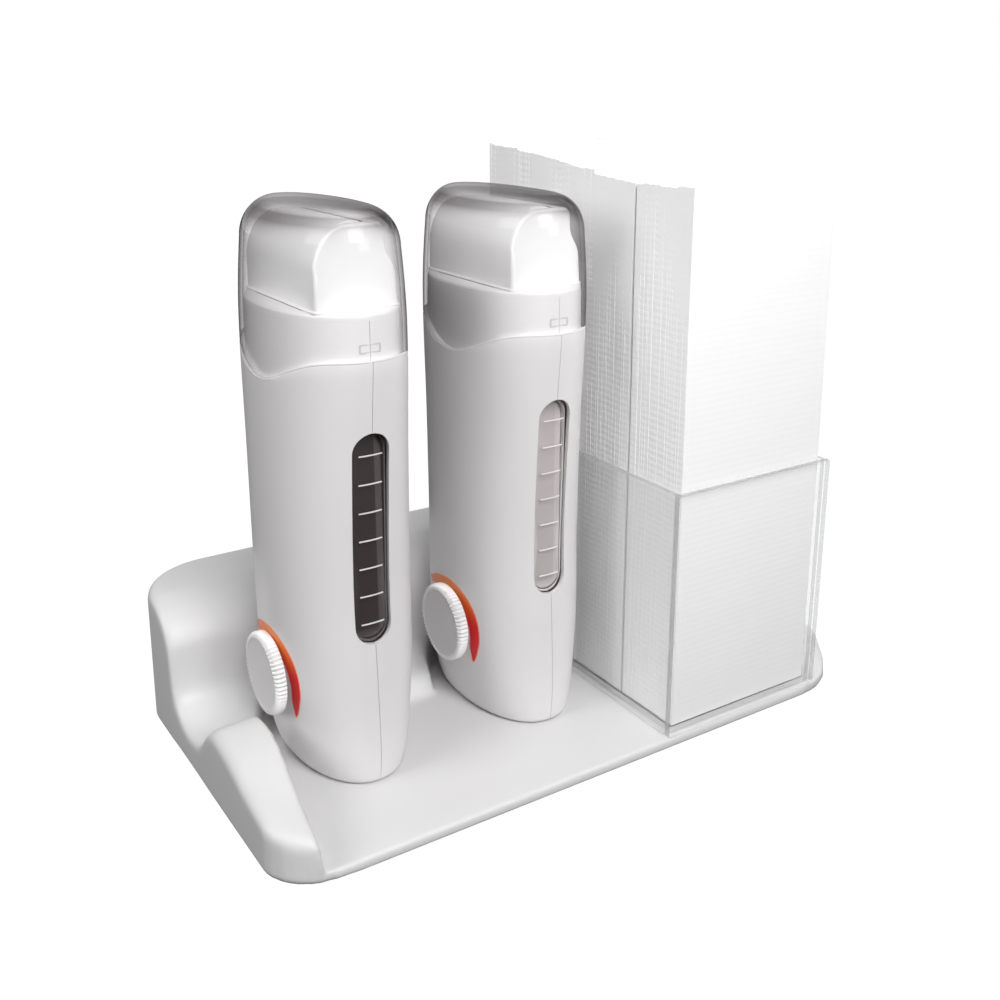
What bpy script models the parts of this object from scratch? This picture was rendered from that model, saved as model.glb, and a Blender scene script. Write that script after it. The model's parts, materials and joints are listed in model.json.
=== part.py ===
"""Twin roll-on wax heater set: two docked heaters and a box of strips on a moulded base.

Metres, +Z up. The origin is on the ground under the middle of the base. +X runs along
the base towards the strip box, and +Y runs towards the raised back.
"""

import math

import bmesh
import bpy
from mathutils import Matrix, Vector

# Clearances
GAP = 0.0003
RUNNING_GAP = 0.0003
CUT_OVERRUN = 0.004

# Base
BASE_DEPTH = 0.155
BASE_BLOCK_HEIGHT = 0.0575
SLAB_HEIGHT = 0.005
RIM_CLEARANCE = 0.001
SLAB_SKIN = 0.0016
BLOCK_SKIN = 0.0022
FRONT_LEFT_RADIUS = 0.019
FRONT_RIGHT_RADIUS = 0.030
REAR_RADIUS = 0.030
LOBE_WIDTH = 0.0195
LOBE_NOSE_WIDTH = 0.015
LOBE_TAPER = 0.0515
LOBE_HEIGHT = 0.030
RIGHT_RIM_WIDTH = 0.021
RIGHT_RIM_HEIGHT = 0.018
RIGHT_RIM_RISE = 0.026
POCKET_CLEARANCE = 0.0022

# Shares of the base's depth from the front, and of the block's height
BLOCK_PROFILE_SHARES = (
    (0.516, 0.087),
    (0.542, 0.200),
    (0.568, 0.250),
    (0.613, 0.250),
    (0.639, 0.285),
    (0.677, 0.390),
    (0.690, 0.530),
    (0.697, 0.730),
    (0.742, 0.905),
    (0.806, 0.990),
    (0.860, 1.000),
    (1.000, 1.000),
)
# Shares of the base's depth from the front, and of the lobe's height
LOBE_PROFILE_SHARES = (
    (0.000, 0.543),
    (0.077, 0.627),
    (0.142, 0.713),
    (0.239, 0.910),
    (0.297, 0.990),
    (0.332, 1.000),
    (0.381, 1.000),
    (0.413, 0.957),
    (0.445, 0.853),
    (0.477, 0.673),
    (0.510, 0.540),
    (0.568, 0.480),
)

# Plate under the base, feet and screws
PLATE_THICK = 0.0012
PLATE_RISE = 0.0012
FOOT_RADIUS = 0.007
FOOT_RECESS = 0.0006
FOOT_TAPER_SHARE = 0.9
FOOT_INSET = 0.024
SCREW_RADIUS = 0.0013
SCREW_HEAD_RADIUS = 0.0026
SCREW_HEAD_THICK = 0.0007
SCREW_LENGTH = 0.0075
BOSS_WALL = 0.0016

# Heaters, and the room along the base beside and between them
HEATER_TO_END = 0.0272
HEATER_TO_HEATER = 0.0224
HEATER_TO_BOX = 0.0050
HEATER_FROM_BACK = 0.0835
HEATER_BODY_HEIGHT = 0.175
HEATER_HALF_THICK = 0.0268
HEATER_HALF_WIDTH = 0.0407
HEATER_ROUNDNESS = 2.15
HEATER_SKIN = 0.0018
HEATER_HEIGHT = 0.2083
# Shares of the body's height, half thickness and half width
BODY_PROFILE_SHARES = (
    (0.000, 0.735, 0.872),
    (0.030, 0.800, 0.890),
    (0.086, 0.866, 0.906),
    (0.229, 0.966, 0.886),
    (0.429, 1.000, 0.843),
    (0.686, 0.985, 0.894),
    (0.971, 0.952, 1.000),
    (1.200, 0.865, 1.025),
)

# Cap
CAP_SKIN = 0.0015
CAP_EDGE_HEIGHT = 0.1592
CAP_EDGE_DIP = 0.009
CAP_DIP_HALF_WIDTH = 0.033
CAP_DIP_FORWARD = 0.0045
CAP_DOME_RISE = 0.0135
CAP_DOME_BROAD_INSET = 0.0135
CAP_DOME_END_INSET = 0.0095
CAP_LEVEL_SHARES = (0.45, 1.0)

# Window
WINDOW_WIDTH = 0.014
WINDOW_BOTTOM = 0.0555
WINDOW_TOP = 0.1343
LENS_THICK = 0.0016
LENS_RECESS = 0.0012

# Dial and thermostat
DIAL_RADIUS = 0.0156
DIAL_THICK = 0.0042
DIAL_STRAIGHT_SHARE = 0.72
DIAL_HEIGHT = 0.0377
DIAL_FORWARD = 0.002
DIAL_TEETH = 44
DIAL_TOOTH_DEPTH = 0.0006
SHAFT_RADIUS = 0.0025
THERMOSTAT_LENGTH = 0.006
THERMOSTAT_WIDTH = 0.018
THERMOSTAT_HEIGHT = 0.014

# Cartridge
BOTTLE_WIDTH = 0.0515
BOTTLE_THICK = 0.032
BOTTLE_HEIGHT = 0.128
BOTTLE_CORNER = 0.006
BOTTLE_SKIN = 0.0012
WAX_FILL_SHARE = 0.93
HEAD_WIDTH = 0.060
HEAD_THICK = 0.0305
HEAD_HEIGHT = 0.028
HEAD_ROUNDING = 0.011
HEAD_PLUG_DEPTH = 0.005
CHEEK_THICK = 0.004
ROLLER_RADIUS = 0.0105
ROLLER_PEEK = 0.0008
ROLLER_AXLE_RADIUS = 0.0025

# Well that holds the cartridge, and its heating plate
WELL_SKIN = 0.0012
WELL_FIT = 0.0005
HEATING_PLATE_THICK = 0.0022
HEATING_PLATE_HEIGHT = 0.080
HEATING_PLATE_WIDTH = 0.036
COLLAR_THICK = 0.0023

# Heater bottom, its screws and the dock
BOTTOM_THICK = 0.0022
SOCKET_LENGTH = 0.018
SOCKET_WIDTH = 0.008
SOCKET_HEIGHT = 0.010
SOCKET_SKIN = 0.0012
PLUG_RISE = 0.005
PLUG_FLANGE = 0.0008
BOTTOM_SCREW_SPACING = 0.044

# Power inlet at the back of the block
INLET_WIDTH = 0.021
INLET_HEIGHT = 0.014
INLET_DEPTH = 0.016
INLET_SKIN = 0.0016
INLET_RISE = 0.026
INLET_PIN_RADIUS = 0.0012
INLET_PIN_SPACING = 0.0086
INLET_FLANGE = 0.0015
PIN_REACH_SHARE = 0.8
BOARD_LENGTH = 0.060
BOARD_WIDTH = 0.026
BOARD_THICK = 0.0016

# Strip box and strips
BOX_WIDTH = 0.080
BOX_DEPTH = 0.139
BOX_HEIGHT = 0.100
BOX_FROM_FRONT = 0.0003
BOX_TO_END = 0.0252
BOX_PANEL = 0.0025
BOX_FIT = 0.0009
STRIP_PLAY = 0.0015
STRIP_LENGTH = 0.2095
FRONT_BUNDLE = 0.031
REAR_BUNDLE = 0.0995
BUNDLE_GAP = 0.0012
REAR_BUNDLE_RISE = 0.0095

ROUND_STEPS = 20

# Sizes that follow from the pieces
HEATER_SPACING = 2 * HEATER_HALF_THICK + HEATER_TO_HEATER
LEFT_HEATER_FROM_END = HEATER_TO_END + HEATER_HALF_THICK
HEATERS_LENGTH = HEATER_SPACING + 2 * HEATER_HALF_THICK
BASE_LENGTH = HEATER_TO_END + HEATERS_LENGTH + HEATER_TO_BOX + BOX_WIDTH + BOX_TO_END
STRIP_WIDTH = BOX_WIDTH - 2 * BOX_PANEL - STRIP_PLAY


def clear_scene():
    for obj in list(bpy.data.objects):
        bpy.data.objects.remove(obj, do_unlink=True)


def material(name, colour, roughness, metallic=0.0, alpha=1.0):
    made = bpy.data.materials.new(name)
    made.use_nodes = True
    shader = made.node_tree.nodes["Principled BSDF"]
    shader.inputs["Base Color"].default_value = (*colour, 1.0)
    shader.inputs["Roughness"].default_value = roughness
    shader.inputs["Metallic"].default_value = metallic
    shader.inputs["Alpha"].default_value = alpha
    made.diffuse_color = (*colour, alpha)
    return made


def make_materials():
    return {
        "base_white": material("base_white", (0.80, 0.79, 0.79), 0.45),
        "heater_white": material("heater_white", (0.82, 0.80, 0.81), 0.32),
        "dial_grey": material("dial_grey", (0.72, 0.70, 0.71), 0.40),
        "smoke_clear": material("smoke_clear", (0.55, 0.52, 0.53), 0.08, 0.0, 0.35),
        "acrylic_clear": material("acrylic_clear", (0.85, 0.88, 0.89), 0.05, 0.0, 0.30),
        "strip_white": material("strip_white", (0.90, 0.90, 0.90), 0.90),
        "dark_plastic": material("dark_plastic", (0.05, 0.05, 0.05), 0.50),
        "rubber": material("rubber", (0.06, 0.06, 0.06), 0.85),
        "steel": material("steel", (0.62, 0.62, 0.62), 0.30, 1.0),
        "brass": material("brass", (0.75, 0.58, 0.30), 0.30, 1.0),
        "aluminium": material("aluminium", (0.70, 0.70, 0.71), 0.40, 1.0),
        "board_green": material("board_green", (0.05, 0.22, 0.12), 0.55),
        "bottle_clear": material("bottle_clear", (0.80, 0.78, 0.76), 0.20, 0.0, 0.45),
        "wax_dark": material("wax_dark", (0.10, 0.07, 0.07), 0.35),
        "wax_pale": material("wax_pale", (0.62, 0.57, 0.55), 0.35),
    }


def empty(name, place, parent=None):
    made = bpy.data.objects.new(name, None)
    made.location = place
    made.parent = parent
    bpy.context.scene.collection.objects.link(made)
    return made


def solid(name, bm, look, parent=None, place=(0.0, 0.0, 0.0), smooth=False):
    """An object from a bmesh, which is freed. Its faces are turned to point out."""
    bmesh.ops.remove_doubles(bm, verts=bm.verts, dist=GAP / 100)
    bmesh.ops.recalc_face_normals(bm, faces=bm.faces)
    mesh = bpy.data.meshes.new(name)
    bm.to_mesh(mesh)
    bm.free()
    if smooth:
        mesh.shade_smooth()
        mesh.set_sharp_from_angle(angle=math.radians(35))
    mesh.materials.append(look)
    made = bpy.data.objects.new(name, mesh)
    made.location = place
    made.parent = parent
    bpy.context.scene.collection.objects.link(made)
    return made


def as_cutter(obj):
    obj.hide_render = True
    obj.display_type = "WIRE"
    return obj


def join_or_cut(obj, other, operation="DIFFERENCE"):
    """Adds a Boolean with the other object, which is left as a hidden guide."""
    step = obj.modifiers.new(f"{operation.lower()}_{other.name}", "BOOLEAN")
    step.operation = operation
    step.object = as_cutter(other)
    step.solver = "EXACT"


def loft(rings, closed_path=False):
    """A skin over rings of points. The ends are capped unless the path of rings closes."""
    bm = bmesh.new()
    rows = [[bm.verts.new(point) for point in ring] for ring in rings]
    pairs = list(zip(rows, rows[1:]))
    if closed_path:
        pairs.append((rows[-1], rows[0]))
    for lower, upper in pairs:
        for i in range(len(lower)):
            j = (i + 1) % len(lower)
            bm.faces.new((lower[i], lower[j], upper[j], upper[i]))
    if not closed_path:
        bm.faces.new(rows[0])
        bm.faces.new(rows[-1])
    return bm


def prism(outline, low, high):
    return loft([[(x, y, z) for x, y in outline] for z in (low, high)])


def block(size_x, size_y, low, high, x=0.0, y=0.0):
    half_x, half_y = size_x / 2, size_y / 2
    corners = ((-half_x, -half_y), (half_x, -half_y), (half_x, half_y), (-half_x, half_y))
    return prism([(x + u, y + v) for u, v in corners], low, high)


def circle(radius, steps=ROUND_STEPS, x=0.0, y=0.0):
    turns = [2 * math.pi * i / steps for i in range(steps)]
    return [(x + radius * math.cos(t), y + radius * math.sin(t)) for t in turns]


def turned(profile, steps=ROUND_STEPS):
    """A solid turned about Z from (radius, height) points that start and end on the axis."""
    rings = [[(x, y, height) for x, y in circle(radius, steps)] for radius, height in profile]
    return loft(rings)


def along_x(bm):
    """Turns a solid made along +Z so that it lies along +X."""
    bmesh.ops.transform(bm, matrix=Matrix.Rotation(math.pi / 2, 4, "Y"), verts=bm.verts)
    return bm


def along_y(bm):
    """Turns a solid made along +Z so that it lies along +Y."""
    bmesh.ops.transform(bm, matrix=Matrix.Rotation(-math.pi / 2, 4, "X"), verts=bm.verts)
    return bm


def rounded_outline(left, right, front, rear, radii, steps=8):
    """A rectangle's outline with four corner radii, from the front right anticlockwise."""
    signs = ((1, -1), (1, 1), (-1, 1), (-1, -1))
    points = []
    for k, (radius, (side, end)) in enumerate(zip(radii, signs)):
        x = (right if side > 0 else left) - side * radius
        y = (rear if end > 0 else front) - end * radius
        for i in range(steps + 1):
            turn = math.pi / 2 * (k - 1 + i / steps)
            points.append((x + radius * math.cos(turn), y + radius * math.sin(turn)))
    return points


def rounded_block(size_x, size_y, low, high, radius, inset=0.0, steps=4):
    half_x, half_y = size_x / 2 - inset, size_y / 2 - inset
    corner = max(radius - inset, radius / 4)
    outline = rounded_outline(-half_x, half_x, -half_y, half_y, (corner,) * 4, steps)
    return prism(outline, low, high)


def smooth_steps(table, at):
    """Values of a table of rows (place, value, ...) at a place, on a smooth curve."""
    rows = list(table)
    last = len(rows) - 1
    if at <= rows[0][0]:
        return rows[0][1:]
    if at >= rows[last][0]:
        return rows[last][1:]
    k = max(i for i in range(last) if rows[i][0] <= at)
    before, low, high, after = rows[max(k - 1, 0)], rows[k], rows[k + 1], rows[min(k + 2, last)]
    span = high[0] - low[0]
    t = (at - low[0]) / span
    values = []
    for n in range(1, len(low)):
        start = (high[n] - before[n]) / (high[0] - before[0]) * span
        end = (after[n] - low[n]) / (after[0] - low[0]) * span
        values.append(
            low[n] * (2 * t**3 - 3 * t**2 + 1)
            + start * (t**3 - 2 * t**2 + t)
            + high[n] * (3 * t**2 - 2 * t**3)
            + end * (t**3 - t**2)
        )
    return tuple(values)


# Base

BASE_LEFT, BASE_RIGHT = -BASE_LENGTH / 2, BASE_LENGTH / 2
BASE_FRONT, BASE_REAR = -BASE_DEPTH / 2, BASE_DEPTH / 2
PLATE_TOP = PLATE_RISE + PLATE_THICK
BASE_RADII = (FRONT_RIGHT_RADIUS, REAR_RADIUS, REAR_RADIUS, FRONT_LEFT_RADIUS)
HEATER_Y = BASE_REAR - HEATER_FROM_BACK
HEATER_XS = (BASE_LEFT + LEFT_HEATER_FROM_END, BASE_LEFT + LEFT_HEATER_FROM_END + HEATER_SPACING)
BOX_X = BASE_RIGHT - BOX_TO_END - BOX_WIDTH / 2
BOX_Y = BASE_FRONT + BOX_FROM_FRONT + BOX_DEPTH / 2
INLET_X = sum(HEATER_XS) / 2


def base_outline(inset):
    radii = [max(radius - inset, radius / 4) for radius in BASE_RADII]
    return rounded_outline(
        BASE_LEFT + inset, BASE_RIGHT - inset, BASE_FRONT + inset, BASE_REAR - inset, radii
    )


def side_profile(points, drop, low, left, right):
    """A solid between two places in X under a height line given as (y, z) points."""
    line = [(y, z - drop) for y, z in points]
    outline = [(line[0][0], low), *line, (line[-1][0], low)]
    return loft([[(x, y, z) for y, z in outline] for x in (left, right)])


def block_line(inset):
    """The height line of the block along the back, from its front foot to the rear."""
    points = []
    for depth_share, height_share in BLOCK_PROFILE_SHARES:
        y = BASE_FRONT + BASE_DEPTH * depth_share + inset
        points.append((y, BASE_BLOCK_HEIGHT * height_share))
    points[-1] = (BASE_REAR + CUT_OVERRUN, points[-1][1])
    return points


def lobe_line(inset):
    """The height line of the lobe at the left, from the front to the block."""
    points = []
    for depth_share, height_share in LOBE_PROFILE_SHARES:
        points.append((BASE_FRONT + BASE_DEPTH * depth_share, LOBE_HEIGHT * height_share))
    points[0] = (BASE_FRONT - CUT_OVERRUN, points[0][1])
    points[-1] = (points[-1][0] + inset + CUT_OVERRUN, points[-1][1])
    return points


def rim_line():
    """The height line of the low rim at the right, rising from the front corner."""
    start = BASE_FRONT + BOX_FROM_FRONT
    points = [(BASE_FRONT - CUT_OVERRUN, SLAB_HEIGHT)]
    for i in range(7):
        share = i / 6
        rise = (1 - math.cos(math.pi * share)) / 2
        height = SLAB_HEIGHT + (RIGHT_RIM_HEIGHT - SLAB_HEIGHT) * rise
        points.append((start + RIGHT_RIM_RISE * share, height))
    points.append((BASE_REAR + CUT_OVERRUN, RIGHT_RIM_HEIGHT))
    return points


def lobe_taper(name, low, skin, look):
    """The wedge that narrows the lobe towards its nose."""
    wide, nose = BASE_LEFT + LOBE_WIDTH - skin, BASE_LEFT + LOBE_NOSE_WIDTH - skin
    slope = (wide - nose) / LOBE_TAPER
    front, rear = BASE_FRONT - 2 * CUT_OVERRUN, BASE_FRONT + LOBE_TAPER + CUT_OVERRUN
    outline = [
        (nose - 2 * CUT_OVERRUN * slope, front),
        (wide + CUT_OVERRUN, front),
        (wide + CUT_OVERRUN, rear),
        (wide + CUT_OVERRUN * slope, rear),
    ]
    return solid(name, prism(outline, low - CUT_OVERRUN, LOBE_HEIGHT + CUT_OVERRUN), look)


def raised_shapes(name, low, drop, skin, look, slab):
    """Unions the slab, the block along the back, the left lobe and the right rim."""
    left, right = BASE_LEFT - CUT_OVERRUN, BASE_RIGHT + CUT_OVERRUN
    parts = (
        ("block", block_line(skin), left, right),
        ("lobe", lobe_line(skin), left, BASE_LEFT + LOBE_WIDTH - skin),
        ("rim", rim_line(), BASE_RIGHT - RIGHT_RIM_WIDTH + skin, right),
    )
    body = solid(f"{name}_slab", block(right - left, 2 * BASE_DEPTH, low, slab), look)
    for part, line, start, end in parts:
        shape = solid(f"{name}_{part}", side_profile(line, drop, low, start, end), look)
        if part == "lobe":
            join_or_cut(shape, lobe_taper(f"{name}_taper", low, skin, look))
        join_or_cut(body, shape, "UNION")
    return body


def heater_outline(grow, height_share, steps=28):
    thick_share, width_share = smooth_steps(BODY_PROFILE_SHARES, height_share)
    half_thick = HEATER_HALF_THICK * thick_share + grow
    half_width = HEATER_HALF_WIDTH * width_share + grow
    return [oval(half_thick, half_width, 2 * math.pi * i / steps) for i in range(steps)]


def oval(half_thick, half_width, turn):
    """A point of the heater's oval section. The turn is 0 on +X."""
    power = 2 / HEATER_ROUNDNESS
    across, along = math.cos(turn), math.sin(turn)
    return (
        math.copysign(half_thick * abs(across) ** power, across),
        math.copysign(half_width * abs(along) ** power, along),
    )


def pocket(name, grow, low, look, parent):
    """The upright room that a docked heater stands in."""
    widest = BODY_PROFILE_SHARES[3][0]
    outline = heater_outline(POCKET_CLEARANCE + grow, widest)
    return solid(name, prism(outline, low, BASE_BLOCK_HEIGHT + CUT_OVERRUN), look, parent)


def box_room(name, grow, low, look):
    size_x = BOX_WIDTH + 2 * (BOX_FIT + grow)
    size_y = BOX_DEPTH + 2 * (BOX_FIT + grow) + CUT_OVERRUN
    y = BOX_Y - CUT_OVERRUN / 2
    return solid(
        name, block(size_x, size_y, low, BASE_BLOCK_HEIGHT + CUT_OVERRUN, BOX_X, y), look
    )


def screw_places():
    near_left = BASE_LEFT + FOOT_INSET / 2
    near_right = BASE_RIGHT - RIGHT_RIM_WIDTH / 2
    rear = BASE_REAR - FOOT_INSET / 2
    middle = BASE_FRONT + BASE_DEPTH / 3
    return (
        ("front_left", near_left, middle),
        ("front_right", near_right, middle),
        ("rear_left", (BASE_LEFT + HEATER_XS[0]) / 2, rear),
        ("rear_right", HEATER_XS[1] + HEATER_SPACING / 4, rear),
    )


def foot_places():
    across = BASE_LENGTH / 2 - FOOT_INSET
    along = BASE_DEPTH / 2 - FOOT_INSET
    return (
        ("front_left", -across, -along),
        ("front_right", across, -along),
        ("rear_left", -across, along),
        ("rear_right", across, along),
    )


def make_base_shell(looks, docks):
    """The moulded shell: an outer shape less its hollow, its pockets and its cut-outs."""
    look = looks["base_white"]
    shell = solid(
        "base_shell",
        prism(base_outline(0.0), RIM_CLEARANCE, BASE_BLOCK_HEIGHT + CUT_OVERRUN),
        look,
    )
    outer = raised_shapes("outer", 0.0, 0.0, 0.0, look, SLAB_HEIGHT)
    join_or_cut(shell, outer, "INTERSECT")
    for i, dock in enumerate(docks, 1):
        join_or_cut(shell, pocket(f"pocket_{i}", 0.0, SLAB_HEIGHT, look, dock))
    join_or_cut(shell, box_room("box_pocket", 0.0, SLAB_HEIGHT, look))
    join_or_cut(shell, make_hollow(look, docks))
    for name, x, y in screw_places():
        hole = prism(circle(SCREW_RADIUS + GAP, x=x, y=y), 0.0, PLATE_TOP + SCREW_LENGTH)
        join_or_cut(shell, solid(f"boss_hole_{name}", hole, look))
    for i, dock in enumerate(docks, 1):
        hole = plug_shape(GAP, 0.0, SLAB_HEIGHT + CUT_OVERRUN)
        join_or_cut(shell, solid(f"plug_hole_{i}", hole, look, dock))
    join_or_cut(shell, inlet_room(look))
    return shell


def make_hollow(look, docks):
    """The hollow under the shell, which keeps its skin off every face and the bosses whole."""
    outline = base_outline(BLOCK_SKIN)
    hollow = solid("hollow", prism(outline, 0.0, BASE_BLOCK_HEIGHT + CUT_OVERRUN), look)
    slab = SLAB_HEIGHT - SLAB_SKIN
    inner = raised_shapes("inner", -CUT_OVERRUN, BLOCK_SKIN, BLOCK_SKIN, look, slab)
    join_or_cut(hollow, inner, "INTERSECT")
    for i, dock in enumerate(docks, 1):
        join_or_cut(hollow, pocket(f"pocket_wall_{i}", BLOCK_SKIN, slab, look, dock))
    join_or_cut(hollow, box_room("box_wall", BLOCK_SKIN, slab, look))
    for name, x, y in screw_places():
        outline = circle(SCREW_RADIUS + GAP + BOSS_WALL, x=x, y=y)
        boss = prism(outline, PLATE_TOP + GAP, BASE_BLOCK_HEIGHT + CUT_OVERRUN)
        join_or_cut(hollow, solid(f"boss_{name}", boss, look))
    return hollow


def make_bottom_plate(looks):
    look = looks["base_white"]
    outline = base_outline(BLOCK_SKIN + GAP)
    plate = solid("base_bottom_plate", prism(outline, PLATE_RISE, PLATE_TOP), look)
    for name, x, y in foot_places():
        recess = prism(circle(FOOT_RADIUS + GAP, x=x, y=y), 0.0, PLATE_RISE + FOOT_RECESS)
        join_or_cut(plate, solid(f"foot_recess_{name}", recess, look))
    for name, x, y in screw_places():
        hole = prism(circle(SCREW_RADIUS + GAP, x=x, y=y), 0.0, PLATE_TOP + CUT_OVERRUN)
        join_or_cut(plate, solid(f"plate_hole_{name}", hole, look))
        sink = circle(SCREW_HEAD_RADIUS + GAP, x=x, y=y)
        seat = prism(sink, 0.0, PLATE_RISE + SCREW_HEAD_THICK)
        join_or_cut(plate, solid(f"plate_sink_{name}", seat, look))


def screw(name, look, parent, place, length):
    """A pan head at the bottom and a plain shank above it."""
    profile = (
        (SCREW_HEAD_RADIUS, 0.0),
        (SCREW_HEAD_RADIUS, SCREW_HEAD_THICK - GAP),
        (SCREW_RADIUS, SCREW_HEAD_THICK - GAP),
        (SCREW_RADIUS, length),
    )
    return solid(name, turned(profile, ROUND_STEPS // 2), look, parent, place, smooth=True)


def make_feet_and_screws(looks):
    for name, x, y in foot_places():
        foot = turned(
            (
                (FOOT_RADIUS * FOOT_TAPER_SHARE, 0.0),
                (FOOT_RADIUS, FOOT_RECESS),
                (FOOT_RADIUS, PLATE_RISE + FOOT_RECESS - GAP),
            )
        )
        solid(f"foot_{name}", foot, looks["rubber"], None, (x, y, 0.0), smooth=True)
    for name, x, y in screw_places():
        place = (x, y, PLATE_RISE)
        screw(f"base_screw_{name}", looks["steel"], None, place, SCREW_LENGTH)


def plug_shape(grow, low, high):
    size_x, size_y = SOCKET_WIDTH - 2 * SOCKET_SKIN, SOCKET_LENGTH - 2 * SOCKET_SKIN
    size_x, size_y = size_x - 2 * GAP + 2 * grow, size_y - 2 * GAP + 2 * grow
    return rounded_block(size_x, size_y, low, high, size_x / 4)


def make_dock_connector(name, looks, dock):
    """A flanged plug that stands through the slab and into the heater's socket."""
    look = looks["dark_plastic"]
    underside = SLAB_HEIGHT - SLAB_SKIN - GAP
    plug = solid(name, plug_shape(0.0, PLATE_TOP + GAP, SLAB_HEIGHT + PLUG_RISE), look, dock)
    flange = plug_shape(PLUG_FLANGE, PLATE_TOP + GAP, underside)
    join_or_cut(plug, solid(f"{name}_flange", flange, look, dock), "UNION")


def inlet_room(look):
    """The opening in the back of the block for the power inlet's body and flange."""
    body = block(
        INLET_WIDTH + 2 * GAP,
        2 * BLOCK_SKIN + 2 * CUT_OVERRUN,
        INLET_RISE - INLET_HEIGHT / 2 - GAP,
        INLET_RISE + INLET_HEIGHT / 2 + GAP,
        INLET_X,
        BASE_REAR,
    )
    return solid("inlet_opening", body, look)


def make_inlet(looks):
    """A socket body that is flush with the back, with its two pins standing inside it."""
    look = looks["dark_plastic"]
    low, high = INLET_RISE - INLET_HEIGHT / 2, INLET_RISE + INLET_HEIGHT / 2
    y = BASE_REAR - INLET_DEPTH / 2
    body = solid("power_inlet", block(INLET_WIDTH, INLET_DEPTH, low, high, INLET_X, y), look)
    flange_y = BASE_REAR - BLOCK_SKIN - GAP - INLET_FLANGE / 2
    flange = block(
        INLET_WIDTH + 2 * INLET_FLANGE,
        INLET_FLANGE,
        low - INLET_FLANGE,
        high + INLET_FLANGE,
        INLET_X,
        flange_y,
    )
    join_or_cut(body, solid("inlet_flange", flange, look), "UNION")
    socket_depth = INLET_DEPTH - INLET_SKIN
    socket = rounded_block(
        INLET_WIDTH - 2 * INLET_SKIN,
        INLET_HEIGHT - 2 * INLET_SKIN,
        0.0,
        socket_depth + CUT_OVERRUN,
        INLET_HEIGHT / 2 - INLET_SKIN - GAP,
    )
    floor = Vector((INLET_X, BASE_REAR - socket_depth, INLET_RISE))
    join_or_cut(body, solid("inlet_socket", along_y(socket), look, None, floor))
    for side, sign in (("left", -1), ("right", 1)):
        pin_x = INLET_X + sign * INLET_PIN_SPACING / 2
        hole = along_y(prism(circle(INLET_PIN_RADIUS + GAP, 10), -INLET_DEPTH, INLET_DEPTH))
        place = (pin_x, BASE_REAR - socket_depth, INLET_RISE)
        join_or_cut(body, solid(f"inlet_pin_hole_{side}", hole, look, None, place))
        reach = socket_depth * PIN_REACH_SHARE
        pin = along_y(prism(circle(INLET_PIN_RADIUS, 10), -2 * INLET_SKIN, reach))
        solid(f"inlet_pin_{side}", pin, looks["brass"], None, place, smooth=True)


def make_terminal_board(looks):
    """The board on the bottom plate behind the heaters, which feeds both docks."""
    low = PLATE_TOP + GAP
    y = BASE_REAR - FOOT_INSET / 2 - BLOCK_SKIN - GAP
    board = block(BOARD_LENGTH, BOARD_WIDTH / 2, low, low + BOARD_THICK, INLET_X, y)
    solid("terminal_board", board, looks["board_green"])


def make_base(looks, docks):
    make_base_shell(looks, docks)
    make_bottom_plate(looks)
    make_feet_and_screws(looks)
    for i, dock in enumerate(docks, 1):
        make_dock_connector(f"dock_{i}_connector", looks, dock)
    make_inlet(looks)
    make_terminal_board(looks)


# Heaters, each in the frame of its own dock: origin on the slab under the heater's middle

ABOVE_SLAB = SLAB_HEIGHT + GAP
SHELL_TOP = HEATER_BODY_HEIGHT - COLLAR_THICK
CAP_SEAT = CAP_SKIN + GAP


def body_size(height):
    thick_share, width_share = smooth_steps(BODY_PROFILE_SHARES, height / HEATER_BODY_HEIGHT)
    return HEATER_HALF_THICK * thick_share, HEATER_HALF_WIDTH * width_share


def cap_edge(y):
    """The height of the cap's lower edge, which dips in the middle of the broad sides."""
    share = (y + CAP_DIP_FORWARD) / CAP_DIP_HALF_WIDTH
    if abs(share) >= 1:
        return CAP_EDGE_HEIGHT
    return CAP_EDGE_HEIGHT - CAP_EDGE_DIP * (1 + math.cos(math.pi * share)) / 2


def casing_inside(y, height):
    """How far from the middle the casing's inner wall is, at a place across the broad side."""
    half_thick, half_width = (size - HEATER_SKIN for size in body_size(height))
    return half_thick * (1 - abs(y / half_width) ** HEATER_ROUNDNESS) ** (1 / HEATER_ROUNDNESS)


def oval_point(height, inset, turn):
    half_thick, half_width = body_size(height)
    x, y = oval(half_thick - inset, half_width - inset, turn)
    return Vector((x, y, height))


def edge_height(turn):
    return cap_edge(oval_point(CAP_EDGE_HEIGHT, 0.0, turn).y)


def edge_point(inset, turn, lift=0.0):
    """A point on the cap's lower edge line, at an inset from the body's surface."""
    return oval_point(edge_height(turn) + lift, inset, turn)


def neck_point(height, inset, turn):
    """A point of the neck inside the cap, no wider anywhere than the cap's lower edge."""
    half_thick, half_width = body_size(height)[0], body_size(CAP_EDGE_HEIGHT)[1]
    x, y = oval(half_thick - CAP_SEAT - inset, half_width - CAP_SEAT - inset, turn)
    return Vector((x, y, height))


def half_ring(side, outer, inner):
    """A C-shaped section: the outer points one way and the inner points back."""
    ring = [*outer, *reversed(inner)]
    return [Vector((point.x + side * GAP / 2, point.y, point.z)) for point in ring]


# Shares of the height of the lowest point of the cap's edge
SHELL_LEVEL_SHARES = (0.0, 0.014, 0.10, 0.233, 0.372, 0.524, 0.698, 0.85, 0.977)
HALF_STEPS = 12
DOME_STEPS = 5


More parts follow.
